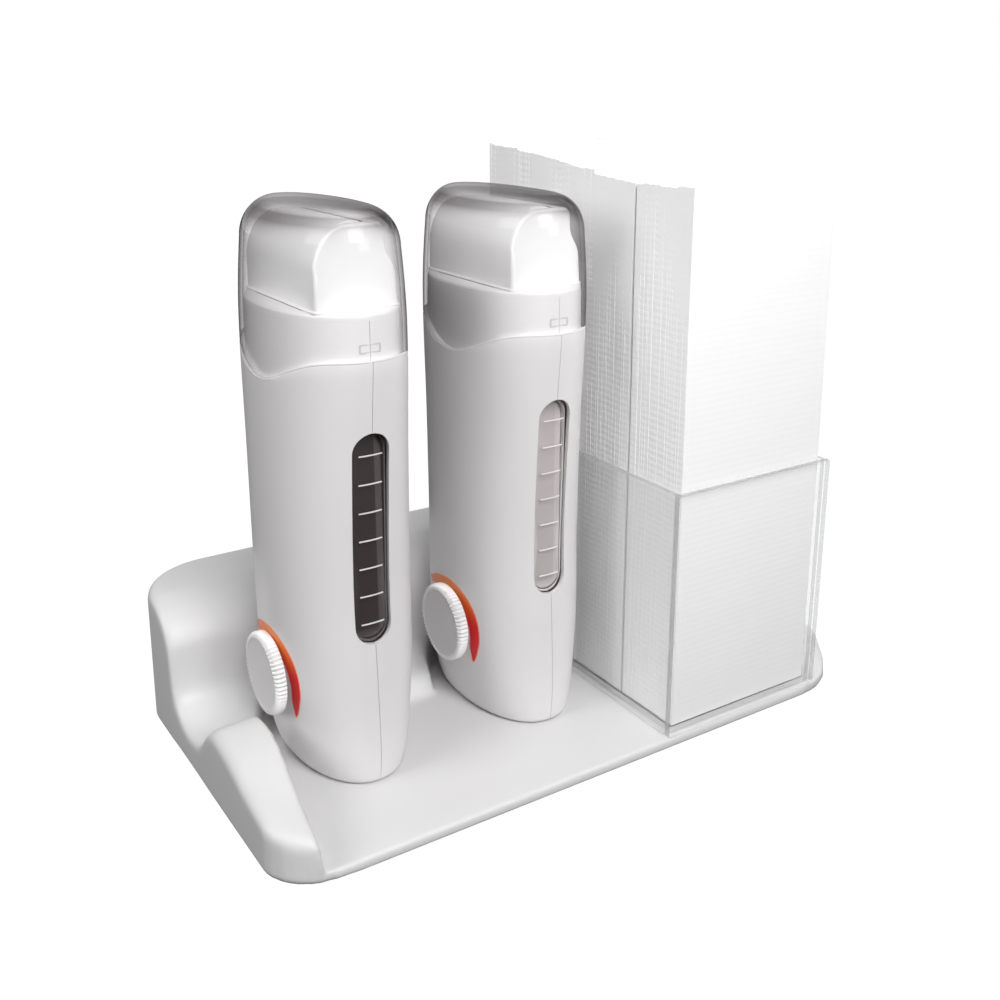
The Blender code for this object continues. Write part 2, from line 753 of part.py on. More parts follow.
def make_shell(name, side, looks, dock):
    """One half of the heater's casing. Side is -1 for the dial side and 1 for the other."""
    start = math.pi / 2 if side < 0 else -math.pi / 2
    turns = [start + math.pi * i / HALF_STEPS for i in range(HALF_STEPS + 1)]
    rings = []
    for k, share in enumerate(SHELL_LEVEL_SHARES):
        height = (CAP_EDGE_HEIGHT - CAP_EDGE_DIP) * share
        rounding = HEATER_SKIN / 2 if k == 0 else 0.0
        outer = [oval_point(height, rounding, turn) for turn in turns]
        inner = [oval_point(height, HEATER_SKIN, turn) for turn in turns]
        rings.append(half_ring(side, outer, inner))
    ledge = [neck_point(edge_height(turn) + GAP, 0.0, turn) for turn in turns]
    outers = ([edge_point(0.0, turn) for turn in turns], ledge)
    for outer, height in zip(outers, (CAP_EDGE_HEIGHT, CAP_EDGE_HEIGHT + CAP_SEAT)):
        rings.append(half_ring(side, outer, [neck_point(height, HEATER_SKIN, t) for t in turns]))
    top = [neck_point(SHELL_TOP, 0.0, turn) for turn in turns]
    top_inner = [neck_point(SHELL_TOP, HEATER_SKIN, turn) for turn in turns]
    rings.append(half_ring(side, top, top_inner))
    look = looks["heater_white"]
    return solid(name, loft(rings), look, dock, (0.0, 0.0, ABOVE_SLAB), smooth=True)


def stadium(width, bottom, top, steps=8):
    """An upright slot's outline with round ends, as (x, z) points."""
    radius = width / 2
    points = []
    for middle, start in ((top - radius, 0.0), (bottom + radius, math.pi)):
        for i in range(steps + 1):
            turn = start + math.pi * i / steps
            points.append((radius * math.cos(turn), middle + radius * math.sin(turn)))
    return points


def window_cutter(name, look, dock):
    """The slot through the front narrow side, half in each shell."""
    slot = stadium(WINDOW_WIDTH, WINDOW_BOTTOM, WINDOW_TOP)
    near, far = -HEATER_HALF_WIDTH - CUT_OVERRUN, -BOTTLE_WIDTH / 2 - WELL_FIT
    rings = [[(x, y, z) for x, z in slot] for y in (near, far)]
    return solid(name, loft(rings), look, dock, (0.0, 0.0, ABOVE_SLAB))


def front_surface(x, height):
    """The y of the heater's front surface at a place across it and a height."""
    half_thick, half_width = body_size(height)
    share = min(abs(x) / half_thick, 1.0)
    return -half_width * (1 - share**HEATER_ROUNDNESS) ** (1 / HEATER_ROUNDNESS)


def make_lens(name, looks, dock):
    """A curved slot-shaped lens that sits back in the window."""
    width = WINDOW_WIDTH - 2 * GAP
    bottom, top = WINDOW_BOTTOM + GAP, WINDOW_TOP - GAP
    radius = width / 2
    rings = []
    rows, columns = 16, 5
    for i in range(rows + 1):
        turn = math.pi * i / rows
        z = (bottom + top) / 2 - math.cos(turn) * (top - bottom - radius / 8) / 2
        from_end = max(min(z - bottom, top - z), 0.0)
        reach = radius if from_end >= radius else math.sqrt(radius**2 - (radius - from_end) ** 2)
        xs = [reach * (2 * k / columns - 1) for k in range(columns + 1)]
        front = [Vector((x, front_surface(x, z) + LENS_RECESS, z)) for x in xs]
        back = [point + Vector((0.0, LENS_THICK, 0.0)) for point in reversed(front)]
        rings.append([*front, *back])
    return solid(
        name, loft(rings), looks["smoke_clear"], dock, (0.0, 0.0, ABOVE_SLAB), smooth=True
    )


def make_collar(name, looks, dock):
    """The ring that closes the casing's top round the cartridge's mouth."""
    steps = 2 * HALF_STEPS
    turns = [2 * math.pi * i / steps for i in range(steps)]
    low, high = SHELL_TOP + GAP, HEATER_BODY_HEIGHT
    mid = (low + high) / 2
    levels = ((low, 0.0), (mid, 0.0), (high, high - mid))
    outer = [[neck_point(z, inset, turn) for turn in turns] for z, inset in levels]
    ring = solid(
        name, loft(outer), looks["heater_white"], dock, (0.0, 0.0, ABOVE_SLAB), smooth=True
    )
    size_x = BOTTLE_THICK + 2 * WELL_FIT + 2 * GAP
    size_y = BOTTLE_WIDTH + 2 * WELL_FIT + 2 * GAP
    mouth = rounded_block(size_x, size_y, low - CUT_OVERRUN, high + CUT_OVERRUN, BOTTLE_CORNER)
    place = (0.0, 0.0, ABOVE_SLAB)
    join_or_cut(ring, solid(f"{name}_mouth", mouth, looks["heater_white"], dock, place))


def make_cap(name, looks, lifted):
    """The clear hood: its skin rises flush with the body and rounds over to a flat top."""
    steps = 2 * HALF_STEPS
    turns = [2 * math.pi * i / steps for i in range(steps)]
    outer = [[edge_point(0.0, turn, GAP) for turn in turns]]
    inner = [[edge_point(CAP_SKIN, turn, 2 * GAP) for turn in turns]]
    straight_top = HEATER_HEIGHT - CAP_DOME_RISE
    for share in CAP_LEVEL_SHARES:
        height = CAP_EDGE_HEIGHT + (straight_top - CAP_EDGE_HEIGHT) * share
        outer.append([oval_point(height, 0.0, turn) for turn in turns])
        inner.append([oval_point(height, CAP_SKIN, turn) for turn in turns])
    for i in range(1, DOME_STEPS + 1):
        bend = math.pi / 2 * i / DOME_STEPS
        for skin, rings in ((0.0, outer), (CAP_SKIN, inner)):
            rings.append([dome_point(skin, bend, turn) for turn in turns])
    bm = loft([*reversed(inner), *outer])
    solid(name, bm, looks["smoke_clear"], lifted, (0.0, 0.0, ABOVE_SLAB), smooth=True)


def dome_point(skin, bend, turn):
    """A point of the cap's rounded top, where the bend goes from its side to its flat."""
    straight_top = HEATER_HEIGHT - CAP_DOME_RISE
    half_thick, half_width = body_size(straight_top)
    inward = 1 - math.cos(bend)
    x, y = oval(
        half_thick - skin - (CAP_DOME_BROAD_INSET - skin) * inward,
        half_width - skin - (CAP_DOME_END_INSET - skin) * inward,
        turn,
    )
    return Vector((x, y, straight_top + (CAP_DOME_RISE - skin) * math.sin(bend)))


DIAL_BACK = body_size(DIAL_HEIGHT + DIAL_RADIUS)[0] + GAP


def make_dial(name, looks, dial):
    """A toothed knob with a stub shaft through the casing, turned about its own X axis."""
    steps = 2 * DIAL_TEETH
    levels = (
        (DIAL_BACK, 0.0),
        (DIAL_BACK + DIAL_THICK * DIAL_STRAIGHT_SHARE, 0.0),
        (DIAL_BACK + DIAL_THICK, DIAL_TOOTH_DEPTH * 2),
    )
    rings = []
    for reach, inset in levels:
        ring = []
        for i in range(steps):
            turn = 2 * math.pi * i / steps
            tooth = DIAL_TOOTH_DEPTH if i % 2 and not inset else 0.0
            radius = DIAL_RADIUS - inset - tooth
            ring.append((-reach, radius * math.cos(turn), radius * math.sin(turn)))
        rings.append(ring)
    look = looks["dial_grey"]
    knob = solid(name, loft(rings), look, dial, smooth=True)
    tip = thermostat_face() - THERMOSTAT_LENGTH / 2
    shaft = along_x(prism(circle(SHAFT_RADIUS), -DIAL_BACK - DIAL_THICK / 2, -tip))
    join_or_cut(knob, solid(f"{name}_shaft", shaft, look, dial), "UNION")


def make_bottom(name, number, looks, dock):
    """The plate that closes the casing's foot, with the socket and two screws."""
    look = looks["heater_white"]
    place = (0.0, 0.0, ABOVE_SLAB)
    grow = -(HEATER_SKIN + GAP)
    outline = heater_outline(grow, 0.0)
    low, high = 0.0, BOTTOM_THICK
    plate = solid(name, prism(outline, low, high), look, dock, place)
    hole = rounded_block(
        SOCKET_WIDTH + 2 * GAP,
        SOCKET_LENGTH + 2 * GAP,
        -CUT_OVERRUN,
        high + CUT_OVERRUN,
        SOCKET_WIDTH / 4,
    )
    join_or_cut(plate, solid(f"{name}_hole", hole, look, dock, place))
    make_socket(f"heater_{number}_contact_socket", looks, dock)
    for side, sign in (("front", -1), ("rear", 1)):
        y = sign * BOTTOM_SCREW_SPACING / 2
        hole = prism(circle(SCREW_RADIUS + GAP), -CUT_OVERRUN, high + CUT_OVERRUN)
        sink = prism(circle(SCREW_HEAD_RADIUS + GAP), -CUT_OVERRUN, SCREW_HEAD_THICK)
        at = (0.0, y, ABOVE_SLAB)
        join_or_cut(plate, solid(f"{name}_screw_hole_{side}", hole, look, dock, at))
        join_or_cut(plate, solid(f"{name}_screw_sink_{side}", sink, look, dock, at))
        screw(f"heater_{number}_screw_{side}", looks["steel"], dock, at, SCREW_LENGTH)


def make_socket(name, looks, dock):
    look = looks["dark_plastic"]
    place = (0.0, 0.0, ABOVE_SLAB)
    corner = SOCKET_WIDTH / 4
    body = rounded_block(SOCKET_WIDTH, SOCKET_LENGTH, 0.0, SOCKET_HEIGHT, corner)
    socket = solid(name, body, look, dock, place)
    size_x, size_y = SOCKET_WIDTH - 2 * SOCKET_SKIN, SOCKET_LENGTH - 2 * SOCKET_SKIN
    room = rounded_block(size_x, size_y, -CUT_OVERRUN, SOCKET_HEIGHT - SOCKET_SKIN, corner / 2)
    join_or_cut(socket, solid(f"{name}_room", room, look, dock, place))


WELL_FLOOR = HEATER_BODY_HEIGHT - BOTTLE_HEIGHT - WELL_SKIN - GAP


def make_well(name, looks, dock):
    """The open metal well round the cartridge, with a slot behind the window."""
    look = looks["aluminium"]
    place = (0.0, 0.0, ABOVE_SLAB)
    size_x = BOTTLE_THICK + 2 * WELL_FIT
    size_y = BOTTLE_WIDTH + 2 * WELL_FIT
    corner = BOTTLE_CORNER + WELL_SKIN
    body = rounded_block(
        size_x + 2 * WELL_SKIN, size_y + 2 * WELL_SKIN, WELL_FLOOR, SHELL_TOP, corner
    )
    well = solid(name, body, look, dock, place)
    low, high = WELL_FLOOR + WELL_SKIN, SHELL_TOP + CUT_OVERRUN
    room = rounded_block(size_x, size_y, low, high, BOTTLE_CORNER)
    join_or_cut(well, solid(f"{name}_room", room, look, dock, place))
    slot = stadium(WINDOW_WIDTH, WINDOW_BOTTOM, WINDOW_TOP, 4)
    near, far = -HEATER_HALF_WIDTH - CUT_OVERRUN, 0.0
    rings = [[(x, y, z) for x, z in slot] for y in (near, far)]
    join_or_cut(well, solid(f"{name}_slot", loft(rings), look, dock, place))


def make_heating_plate(name, looks, dock):
    """The flat heater on the well's dial side, above the thermostat."""
    face = BOTTLE_THICK / 2 + WELL_FIT + WELL_SKIN + GAP
    low = (WINDOW_BOTTOM + WINDOW_TOP) / 2 - HEATING_PLATE_HEIGHT / 2
    x = -face - HEATING_PLATE_THICK / 2
    plate = block(HEATING_PLATE_THICK, HEATING_PLATE_WIDTH, low, low + HEATING_PLATE_HEIGHT, x)
    solid(name, plate, looks["aluminium"], dock, (0.0, 0.0, ABOVE_SLAB))


def thermostat_face():
    reach = THERMOSTAT_WIDTH / 2 + DIAL_FORWARD
    return casing_inside(reach, DIAL_HEIGHT - THERMOSTAT_HEIGHT / 2) - 2 * GAP


def make_thermostat(name, looks, dock):
    """The body that the dial's shaft enters, behind the casing's wall."""
    look = looks["dark_plastic"]
    outside = thermostat_face()
    inside = outside - THERMOSTAT_LENGTH
    low = DIAL_HEIGHT - THERMOSTAT_HEIGHT / 2
    high = DIAL_HEIGHT + THERMOSTAT_HEIGHT / 2
    x = -(outside + inside) / 2
    place = (0.0, 0.0, ABOVE_SLAB)
    body = block(outside - inside, THERMOSTAT_WIDTH, low, high, x, -DIAL_FORWARD)
    thermostat = solid(name, body, look, dock, place)
    hole = along_x(prism(circle(SHAFT_RADIUS + RUNNING_GAP), -HEATER_HALF_THICK, 0.0))
    at = (0.0, -DIAL_FORWARD, ABOVE_SLAB + DIAL_HEIGHT)
    join_or_cut(thermostat, solid(f"{name}_hole", hole, look, dock, at))


def make_casing(number, looks, dock):
    """Both halves of the casing, each cut by the window, and the dial side by its shaft."""
    look = looks["heater_white"]
    window = window_cutter(f"window_{number}", look, dock)
    for part, side in (("left", -1), ("right", 1)):
        shell = make_shell(f"heater_{number}_shell_{part}", side, looks, dock)
        join_or_cut(shell, window)
        if side < 0:
            reach = along_x(
                prism(circle(SHAFT_RADIUS + RUNNING_GAP), -HEATER_HALF_THICK - CUT_OVERRUN, 0.0)
            )
            at = (0.0, -DIAL_FORWARD, ABOVE_SLAB + DIAL_HEIGHT)
            join_or_cut(shell, solid(f"shaft_hole_{number}", reach, look, dock, at))


# Cartridges, in the same frame as their heaters

def make_bottle(name, looks, cartridge):
    look = looks["bottle_clear"]
    place = (0.0, 0.0, ABOVE_SLAB)
    low, high = HEATER_BODY_HEIGHT - BOTTLE_HEIGHT, HEATER_BODY_HEIGHT
    body = rounded_block(BOTTLE_THICK, BOTTLE_WIDTH, low, high, BOTTLE_CORNER)
    bottle = solid(name, body, look, cartridge, place)
    room = rounded_block(
        BOTTLE_THICK, BOTTLE_WIDTH, low + BOTTLE_SKIN, high + CUT_OVERRUN, BOTTLE_CORNER, BOTTLE_SKIN
    )
    join_or_cut(bottle, solid(f"{name}_room", room, look, cartridge, place))


def make_wax(name, look, cartridge):
    low = HEATER_BODY_HEIGHT - BOTTLE_HEIGHT + BOTTLE_SKIN + GAP
    high = low + (BOTTLE_HEIGHT - HEAD_PLUG_DEPTH - BOTTLE_SKIN - 2 * GAP) * WAX_FILL_SHARE
    inset = BOTTLE_SKIN + GAP
    wax = rounded_block(BOTTLE_THICK, BOTTLE_WIDTH, low, high, BOTTLE_CORNER, inset)
    solid(name, wax, look, cartridge, (0.0, 0.0, ABOVE_SLAB))


HEAD_LOW = HEATER_BODY_HEIGHT + GAP
ROLLER_HEIGHT = HEAD_LOW + HEAD_HEIGHT + ROLLER_PEEK - ROLLER_RADIUS


def head_outline():
    """The head's end view: upright sides that round over into a flat top."""
    half = HEAD_THICK / 2
    top = HEAD_LOW + HEAD_HEIGHT
    points = [(-half, HEAD_LOW), (half, HEAD_LOW)]
    for sign, start in ((1, 0.0), (-1, math.pi / 2)):
        for i in range(5):
            turn = start + math.pi / 2 * i / 4
            x = sign * (half - HEAD_ROUNDING) + HEAD_ROUNDING * math.cos(turn)
            points.append((x, top - HEAD_ROUNDING + HEAD_ROUNDING * math.sin(turn)))
    return points


def make_head(name, looks, cartridge):
    """The block on the bottle: it plugs the mouth and carries the roller between cheeks."""
    look = looks["heater_white"]
    place = (0.0, 0.0, ABOVE_SLAB)
    rings = [[(x, y, z) for x, z in head_outline()] for y in (-HEAD_WIDTH / 2, HEAD_WIDTH / 2)]
    head = solid(name, loft(rings), look, cartridge, place, smooth=True)
    inset = BOTTLE_SKIN + GAP
    low = HEATER_BODY_HEIGHT - HEAD_PLUG_DEPTH
    plug = rounded_block(BOTTLE_THICK, BOTTLE_WIDTH, low, HEAD_LOW + GAP, BOTTLE_CORNER, inset)
    join_or_cut(head, solid(f"{name}_plug", plug, look, cartridge, place), "UNION")
    roller_room = HEAD_WIDTH - 2 * CHEEK_THICK
    radius = ROLLER_RADIUS + RUNNING_GAP
    room = along_y(prism(circle(radius, 24), -roller_room / 2, roller_room / 2))
    at = (0.0, 0.0, ABOVE_SLAB + ROLLER_HEIGHT)
    join_or_cut(head, solid(f"{name}_room", room, look, cartridge, at))
    reach = roller_room / 2 + CHEEK_THICK / 2 + GAP
    axle_room = along_y(prism(circle(ROLLER_AXLE_RADIUS + RUNNING_GAP, 12), -reach, reach))
    join_or_cut(head, solid(f"{name}_axle_room", axle_room, look, cartridge, at))


def make_roller(name, looks, axle):
    """A roller with a stub axle at each end."""
    half = HEAD_WIDTH / 2 - CHEEK_THICK - RUNNING_GAP
    end = half + CHEEK_THICK / 2
    profile = (
        (ROLLER_AXLE_RADIUS, -end),
        (ROLLER_AXLE_RADIUS, -half),
        (ROLLER_RADIUS, -half),
        (ROLLER_RADIUS, half),
        (ROLLER_AXLE_RADIUS, half),
        (ROLLER_AXLE_RADIUS, end),
    )
    solid(name, along_y(turned(profile, 24)), looks["heater_white"], axle, smooth=True)


def make_heater(number, looks, dock):
    cartridge = empty(f"cartridge_{number}_slide", (0.0, 0.0, 0.0), dock)
    cap_slide = empty(f"cap_{number}_slide", (0.0, 0.0, 0.0), cartridge)
    dial_place = (0.0, -DIAL_FORWARD, ABOVE_SLAB + DIAL_HEIGHT)
    dial_axis = empty(f"dial_{number}_axis", dial_place, dock)
    roller_axis = empty(
        f"roller_{number}_axis", (0.0, 0.0, ABOVE_SLAB + ROLLER_HEIGHT), cartridge
    )
    make_casing(number, looks, dock)
    make_lens(f"heater_{number}_window_lens", looks, dock)
    make_collar(f"heater_{number}_collar", looks, dock)
    make_bottom(f"heater_{number}_bottom_plate", number, looks, dock)
    make_well(f"heater_{number}_cartridge_well", looks, dock)
    make_heating_plate(f"heater_{number}_heating_plate", looks, dock)
    make_thermostat(f"heater_{number}_thermostat", looks, dock)
    make_dial(f"heater_{number}_dial", looks, dial_axis)
    make_cap(f"heater_{number}_cap", looks, cap_slide)
    make_bottle(f"cartridge_{number}_bottle", looks, cartridge)
    make_wax(f"cartridge_{number}_wax", looks["wax_dark" if number == 1 else "wax_pale"], cartridge)
    make_head(f"cartridge_{number}_head", looks, cartridge)
    make_roller(f"cartridge_{number}_roller", looks, roller_axis)


# Strip box and strips

def make_strip_box(looks):
    """Five flat panels: a floor inside four walls, the sides between front and back."""
    look = looks["acrylic_clear"]
    low = SLAB_HEIGHT + GAP
    high = low + BOX_HEIGHT
    box = empty("strip_box_slide", (BOX_X, BOX_Y, 0.0))
    for name, sign in (("front", -1), ("back", 1)):
        y = sign * (BOX_DEPTH - BOX_PANEL) / 2
        panel = block(BOX_WIDTH, BOX_PANEL, low, high, 0.0, y)
        solid(f"strip_box_{name}", panel, look, box)
    for name, sign in (("left", -1), ("right", 1)):
        x = sign * (BOX_WIDTH - BOX_PANEL) / 2
        panel = block(BOX_PANEL, BOX_DEPTH - 2 * BOX_PANEL - 2 * GAP, low, high, x)
        solid(f"strip_box_{name}", panel, look, box)
    inside_x = BOX_WIDTH - 2 * BOX_PANEL - 2 * GAP
    inside_y = BOX_DEPTH - 2 * BOX_PANEL - 2 * GAP
    solid("strip_box_floor", block(inside_x, inside_y, low, low + BOX_PANEL), look, box)
    return box


def make_strips(looks, box):
    """Two stacks of strips that stand on end in the box, the rear one rising to the back."""
    look = looks["strip_white"]
    low = SLAB_HEIGHT + GAP + BOX_PANEL + GAP
    front = -BOX_DEPTH / 2 + BOX_PANEL + GAP * 2
    stack = block(STRIP_WIDTH, FRONT_BUNDLE, low, low + STRIP_LENGTH, 0.0, front + FRONT_BUNDLE / 2)
    solid("strips_front", stack, look, box)
    start = front + FRONT_BUNDLE + BUNDLE_GAP
    end = start + REAR_BUNDLE
    top = low + STRIP_LENGTH
    outline = ((start, low), (end, low), (end, top + REAR_BUNDLE_RISE), (start, top))
    rings = [[(x, y, z) for y, z in outline] for x in (-STRIP_WIDTH / 2, STRIP_WIDTH / 2)]
    solid("strips_rear", loft(rings), look, box)


def build():
    clear_scene()
    looks = make_materials()
    docks = [
        empty(f"heater_{i}_slide", (x, HEATER_Y, 0.0)) for i, x in enumerate(HEATER_XS, 1)
    ]
    make_base(looks, docks)
    for number, dock in enumerate(docks, 1):
        make_heater(number, looks, dock)
    box = make_strip_box(looks)
    make_strips(looks, box)


build()
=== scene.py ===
"""Twin roll-on wax heater set: two docked heaters and a box of strips on a moulded base."""
import json
import math

import bmesh
import bpy
import numpy as np
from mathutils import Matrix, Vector


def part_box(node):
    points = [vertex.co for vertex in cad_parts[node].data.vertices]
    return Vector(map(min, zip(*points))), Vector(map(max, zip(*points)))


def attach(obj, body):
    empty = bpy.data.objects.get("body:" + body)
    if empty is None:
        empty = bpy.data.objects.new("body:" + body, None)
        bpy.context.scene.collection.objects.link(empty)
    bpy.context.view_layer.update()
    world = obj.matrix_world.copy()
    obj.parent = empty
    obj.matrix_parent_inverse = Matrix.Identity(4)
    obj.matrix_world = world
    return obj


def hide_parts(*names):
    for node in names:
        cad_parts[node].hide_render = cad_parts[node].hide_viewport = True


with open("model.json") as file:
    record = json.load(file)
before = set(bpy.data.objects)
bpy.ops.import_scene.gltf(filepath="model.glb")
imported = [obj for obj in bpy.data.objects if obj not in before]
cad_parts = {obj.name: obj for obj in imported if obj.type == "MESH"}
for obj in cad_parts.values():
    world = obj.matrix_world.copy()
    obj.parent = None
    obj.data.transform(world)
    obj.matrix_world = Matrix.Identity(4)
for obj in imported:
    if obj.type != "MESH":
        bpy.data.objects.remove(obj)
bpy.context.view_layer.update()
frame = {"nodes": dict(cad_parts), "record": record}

MM = 0.001

# Sizes shared with the solids, in metres
GAP = 0.0003
BASE_LENGTH, BASE_DEPTH, BLOCK_HEIGHT = 0.267, 0.155, 0.0575
SLAB_HEIGHT, RIM_CLEARANCE = 0.005, 0.001
# Each corner's side across and along, and its radius, from the front right one round to the front left one
CORNERS = ((1, -1, 0.030), (1, 1, 0.030), (-1, 1, 0.030), (-1, -1, 0.019))
LOBE_WIDTH, LOBE_NOSE_WIDTH, LOBE_TAPER = 0.0195, 0.015, 0.0515
RIM_WIDTH, RIM_HEIGHT, RIM_RISE = 0.021, 0.018, 0.026
POCKET_CLEARANCE = 0.0022
HEATER_XS, HEATER_Y = (-0.0795, -0.0035), -0.006
ABOVE_SLAB = SLAB_HEIGHT + GAP
BODY_HEIGHT, HALF_THICK, HALF_WIDTH, ROUNDNESS = 0.175, 0.0268, 0.0407, 2.15
SKIN, CAP_SKIN, HEATER_HEIGHT = 0.0018, 0.0015, 0.2083
CAP_EDGE, CAP_DIP, CAP_DIP_HALF, CAP_DIP_FORWARD = 0.1592, 0.009, 0.033, 0.0045
DOME_RISE, DOME_BROAD, DOME_END = 0.0135, 0.0135, 0.0095
CAP_SEAT = CAP_SKIN + GAP
CAP_TAPER = 0.0009
COLLAR_THICK = 0.0023
WINDOW_WIDTH, WINDOW_BOTTOM, WINDOW_TOP = 0.014, 0.0555, 0.1343
LENS_RECESS = 0.0012
DIAL_RADIUS, DIAL_HEIGHT, DIAL_FORWARD = 0.0156, 0.0377, 0.002
BOX_X, BOX_Y, BOX_WIDTH, BOX_DEPTH, BOX_FIT = 0.0683, -0.0077, 0.080, 0.139, 0.0009

# Run from the front and height of the block, as shares of the base's depth and the block's height
BLOCK_PROFILE_SHARES = (
    (0.516, 0.087), (0.542, 0.200), (0.568, 0.238), (0.613, 0.262), (0.639, 0.296), (0.677, 0.390),
    (0.690, 0.530), (0.697, 0.730), (0.742, 0.905), (0.806, 0.990), (0.860, 1.000), (1.000, 1.000),
)
# Run from the front, height at the lobe's outer edge and height at its inner edge, in millimetres
LOBE_HEIGHTS = (
    (0.0, 18.9, 16.6), (12.0, 20.2, 19.0), (24.3, 21.6, 22.6), (33.2, 23.1, 26.6), (42.0, 25.8, 30.0),
    (51.4, 28.2, 31.3), (61.5, 29.1, 31.0), (66.5, 27.8, 28.6), (70.5, 25.0, 25.2), (75.5, 19.6, 19.4),
    (81.0, 15.6, 15.6), (88.0, 14.4, 14.4),
)
# Height, half thickness and half width of the heater's body, as shares of its sizes
BODY_PROFILE_SHARES = (
    (0.000, 0.735, 0.872), (0.030, 0.800, 0.890), (0.086, 0.866, 0.906), (0.229, 0.966, 0.886),
    (0.429, 1.000, 0.843), (0.686, 0.985, 0.894), (0.971, 0.952, 1.000), (1.200, 0.865, 1.025),
)


# Camera, light and floor


FOCAL_LENGTH, LENS_SHIFT = 41.83, -0.10
CAMERA_PLACE, CAMERA_DOWN, CAMERA_TURN = (-0.2451, -0.3776, 0.2559), 15.78, -32.94


def show(name, data):
    """A new object in the scene."""
    made = bpy.data.objects.new(name, data)
    bpy.context.scene.collection.objects.link(made)
    return made


def make_camera():
    lens = bpy.data.cameras.new("camera")
    lens.sensor_width = 36.0
    lens.lens = FOCAL_LENGTH
    lens.shift_y = LENS_SHIFT
    lens.clip_start, lens.clip_end = 0.01, 30.0
    camera = show("camera", lens)
    camera.location = CAMERA_PLACE
    camera.rotation_euler = (math.radians(90 - CAMERA_DOWN), 0.0, math.radians(CAMERA_TURN))
    bpy.context.scene.camera = camera


# Direction and strength of each share of the sky
SKY = {"right": ((1, 0, 0), 0.06), "back": ((0, 1, -0.35), 1.00), "up": ((0, 0, 1), 0.27)}
# Place, the point it faces, size and watts of each lamp
LAMPS = {
    "near": ((-0.10, -0.53, 0.53), (-0.02, 0.0, 0.06), (0.38, 0.38), 3.55),
    "low": ((0.08, -0.65, 0.32), (0.0, 0.0, 0.08), (0.30, 0.30), 1.05),
    "wing": ((-0.90, -0.05, 0.60), (0.0, 0.0, 0.12), (0.50, 0.50), 4.30),
    "right": ((0.90, 0.10, 0.75), (0.0, 0.0, 0.08), (0.50, 0.50), 2.20),
    "flank": ((1.00, 0.30, 0.10), (0.0, 0.02, 0.10), (0.40, 0.20), 2.50),
}
FLOOR_ALBEDO, FLOOR_LIFT = 0.08, 1.0


def make_world():
    """A soft studio round the object: each side gives its own share of light, and the camera sees white."""
    scene = bpy.context.scene
    scene.view_settings.view_transform = "Standard"
    world = bpy.data.worlds.new("studio")
    scene.world = world
    world.use_nodes = True
    tree = world.node_tree
    sky = tree.nodes["Background"]
    place = add(tree, "ShaderNodeTexCoord").outputs["Generated"]
    total = 0.0
    for axis, share in SKY.values():
        turned = add(tree, "ShaderNodeVectorMath", {0: place, 1: axis}, operation="DOT_PRODUCT")
        lobe = calc(tree, "POWER", calc(tree, "MAXIMUM", turned.outputs["Value"], 0.0), 2.0)
        total = calc(tree, "MULTIPLY_ADD", lobe, share, total)
    seen = add(tree, "ShaderNodeLightPath").outputs["Is Camera Ray"]
    pick = add(tree, "ShaderNodeMix", {"Factor": seen, 2: total, 3: 1.0}, data_type="FLOAT")
    feed(tree, sky, {"Color": (1.0, 0.997, 0.997, 1.0), "Strength": pick.outputs[0]})


def make_lights():
    for name, (place, target, size, watts) in LAMPS.items():
        lamp = bpy.data.lights.new(name, "AREA")
        lamp.shape = "RECTANGLE"
        lamp.size, lamp.size_y = size
        lamp.energy = watts
        held = show(name, lamp)
        held.location = place
        held.rotation_euler = (Vector(target) - Vector(place)).to_track_quat("-Z", "Y").to_euler()


def make_floor(look):
    bm = bmesh.new()
    count, reach = 40, 40.0
    bmesh.ops.create_grid(bm, x_segments=count, y_segments=count, size=reach)
    mesh = bpy.data.meshes.new("floor")
    bm.to_mesh(mesh)
    bm.free()
    mesh.materials.append(look)
    show("floor", mesh)


# Materials


def start_look(name):
    look = bpy.data.materials.new(name)
    look.use_nodes = True
    return look, look.node_tree, look.node_tree.nodes["Principled BSDF"]


def feed(tree, node, inputs):
    """Fills a node's inputs: a socket is linked and a plain value is set."""
    for key, value in inputs.items():
        if isinstance(value, bpy.types.NodeSocket):
            tree.links.new(value, node.inputs[key])
        else:
            node.inputs[key].default_value = value


def add(tree, kind, inputs=(), **settings):
    node = tree.nodes.new(kind)
    for key, value in settings.items():
        setattr(node, key, value)
    feed(tree, node, dict(inputs))
    return node


def calc(tree, operation, *values):
    return add(tree, "ShaderNodeMath", enumerate(values), operation=operation).outputs[0]


def spot(tree, stretch=None):
    """The piece's own place in metres, which may be stretched."""
    place = add(tree, "ShaderNodeTexCoord").outputs["Object"]
    if not stretch:
        return place
    return add(tree, "ShaderNodeMapping", {"Vector": place, "Scale": stretch}).outputs[0]


def noise(tree, scale, detail=3.0, stretch=None):
    inputs = {"Vector": spot(tree, stretch), "Scale": scale, "Detail": detail}
    return add(tree, "ShaderNodeTexNoise", inputs).outputs["Fac"]


def remap(tree, value, low, high, from_low=0.0, from_high=1.0):
    inputs = {0: value, 1: from_low, 2: from_high, 3: low, 4: high}
    return add(tree, "ShaderNodeMapRange", inputs).outputs[0]


def blend_colour(tree, share, first, second):
    inputs = {"Factor": share, 6: (*first, 1.0), 7: (*second, 1.0)}
    return add(tree, "ShaderNodeMix", inputs, data_type="RGBA").outputs[2]


def bump(tree, height, strength, depth):
    inputs = {"Height": height, "Strength": strength, "Distance": depth}
    return add(tree, "ShaderNodeBump", inputs).outputs[0]


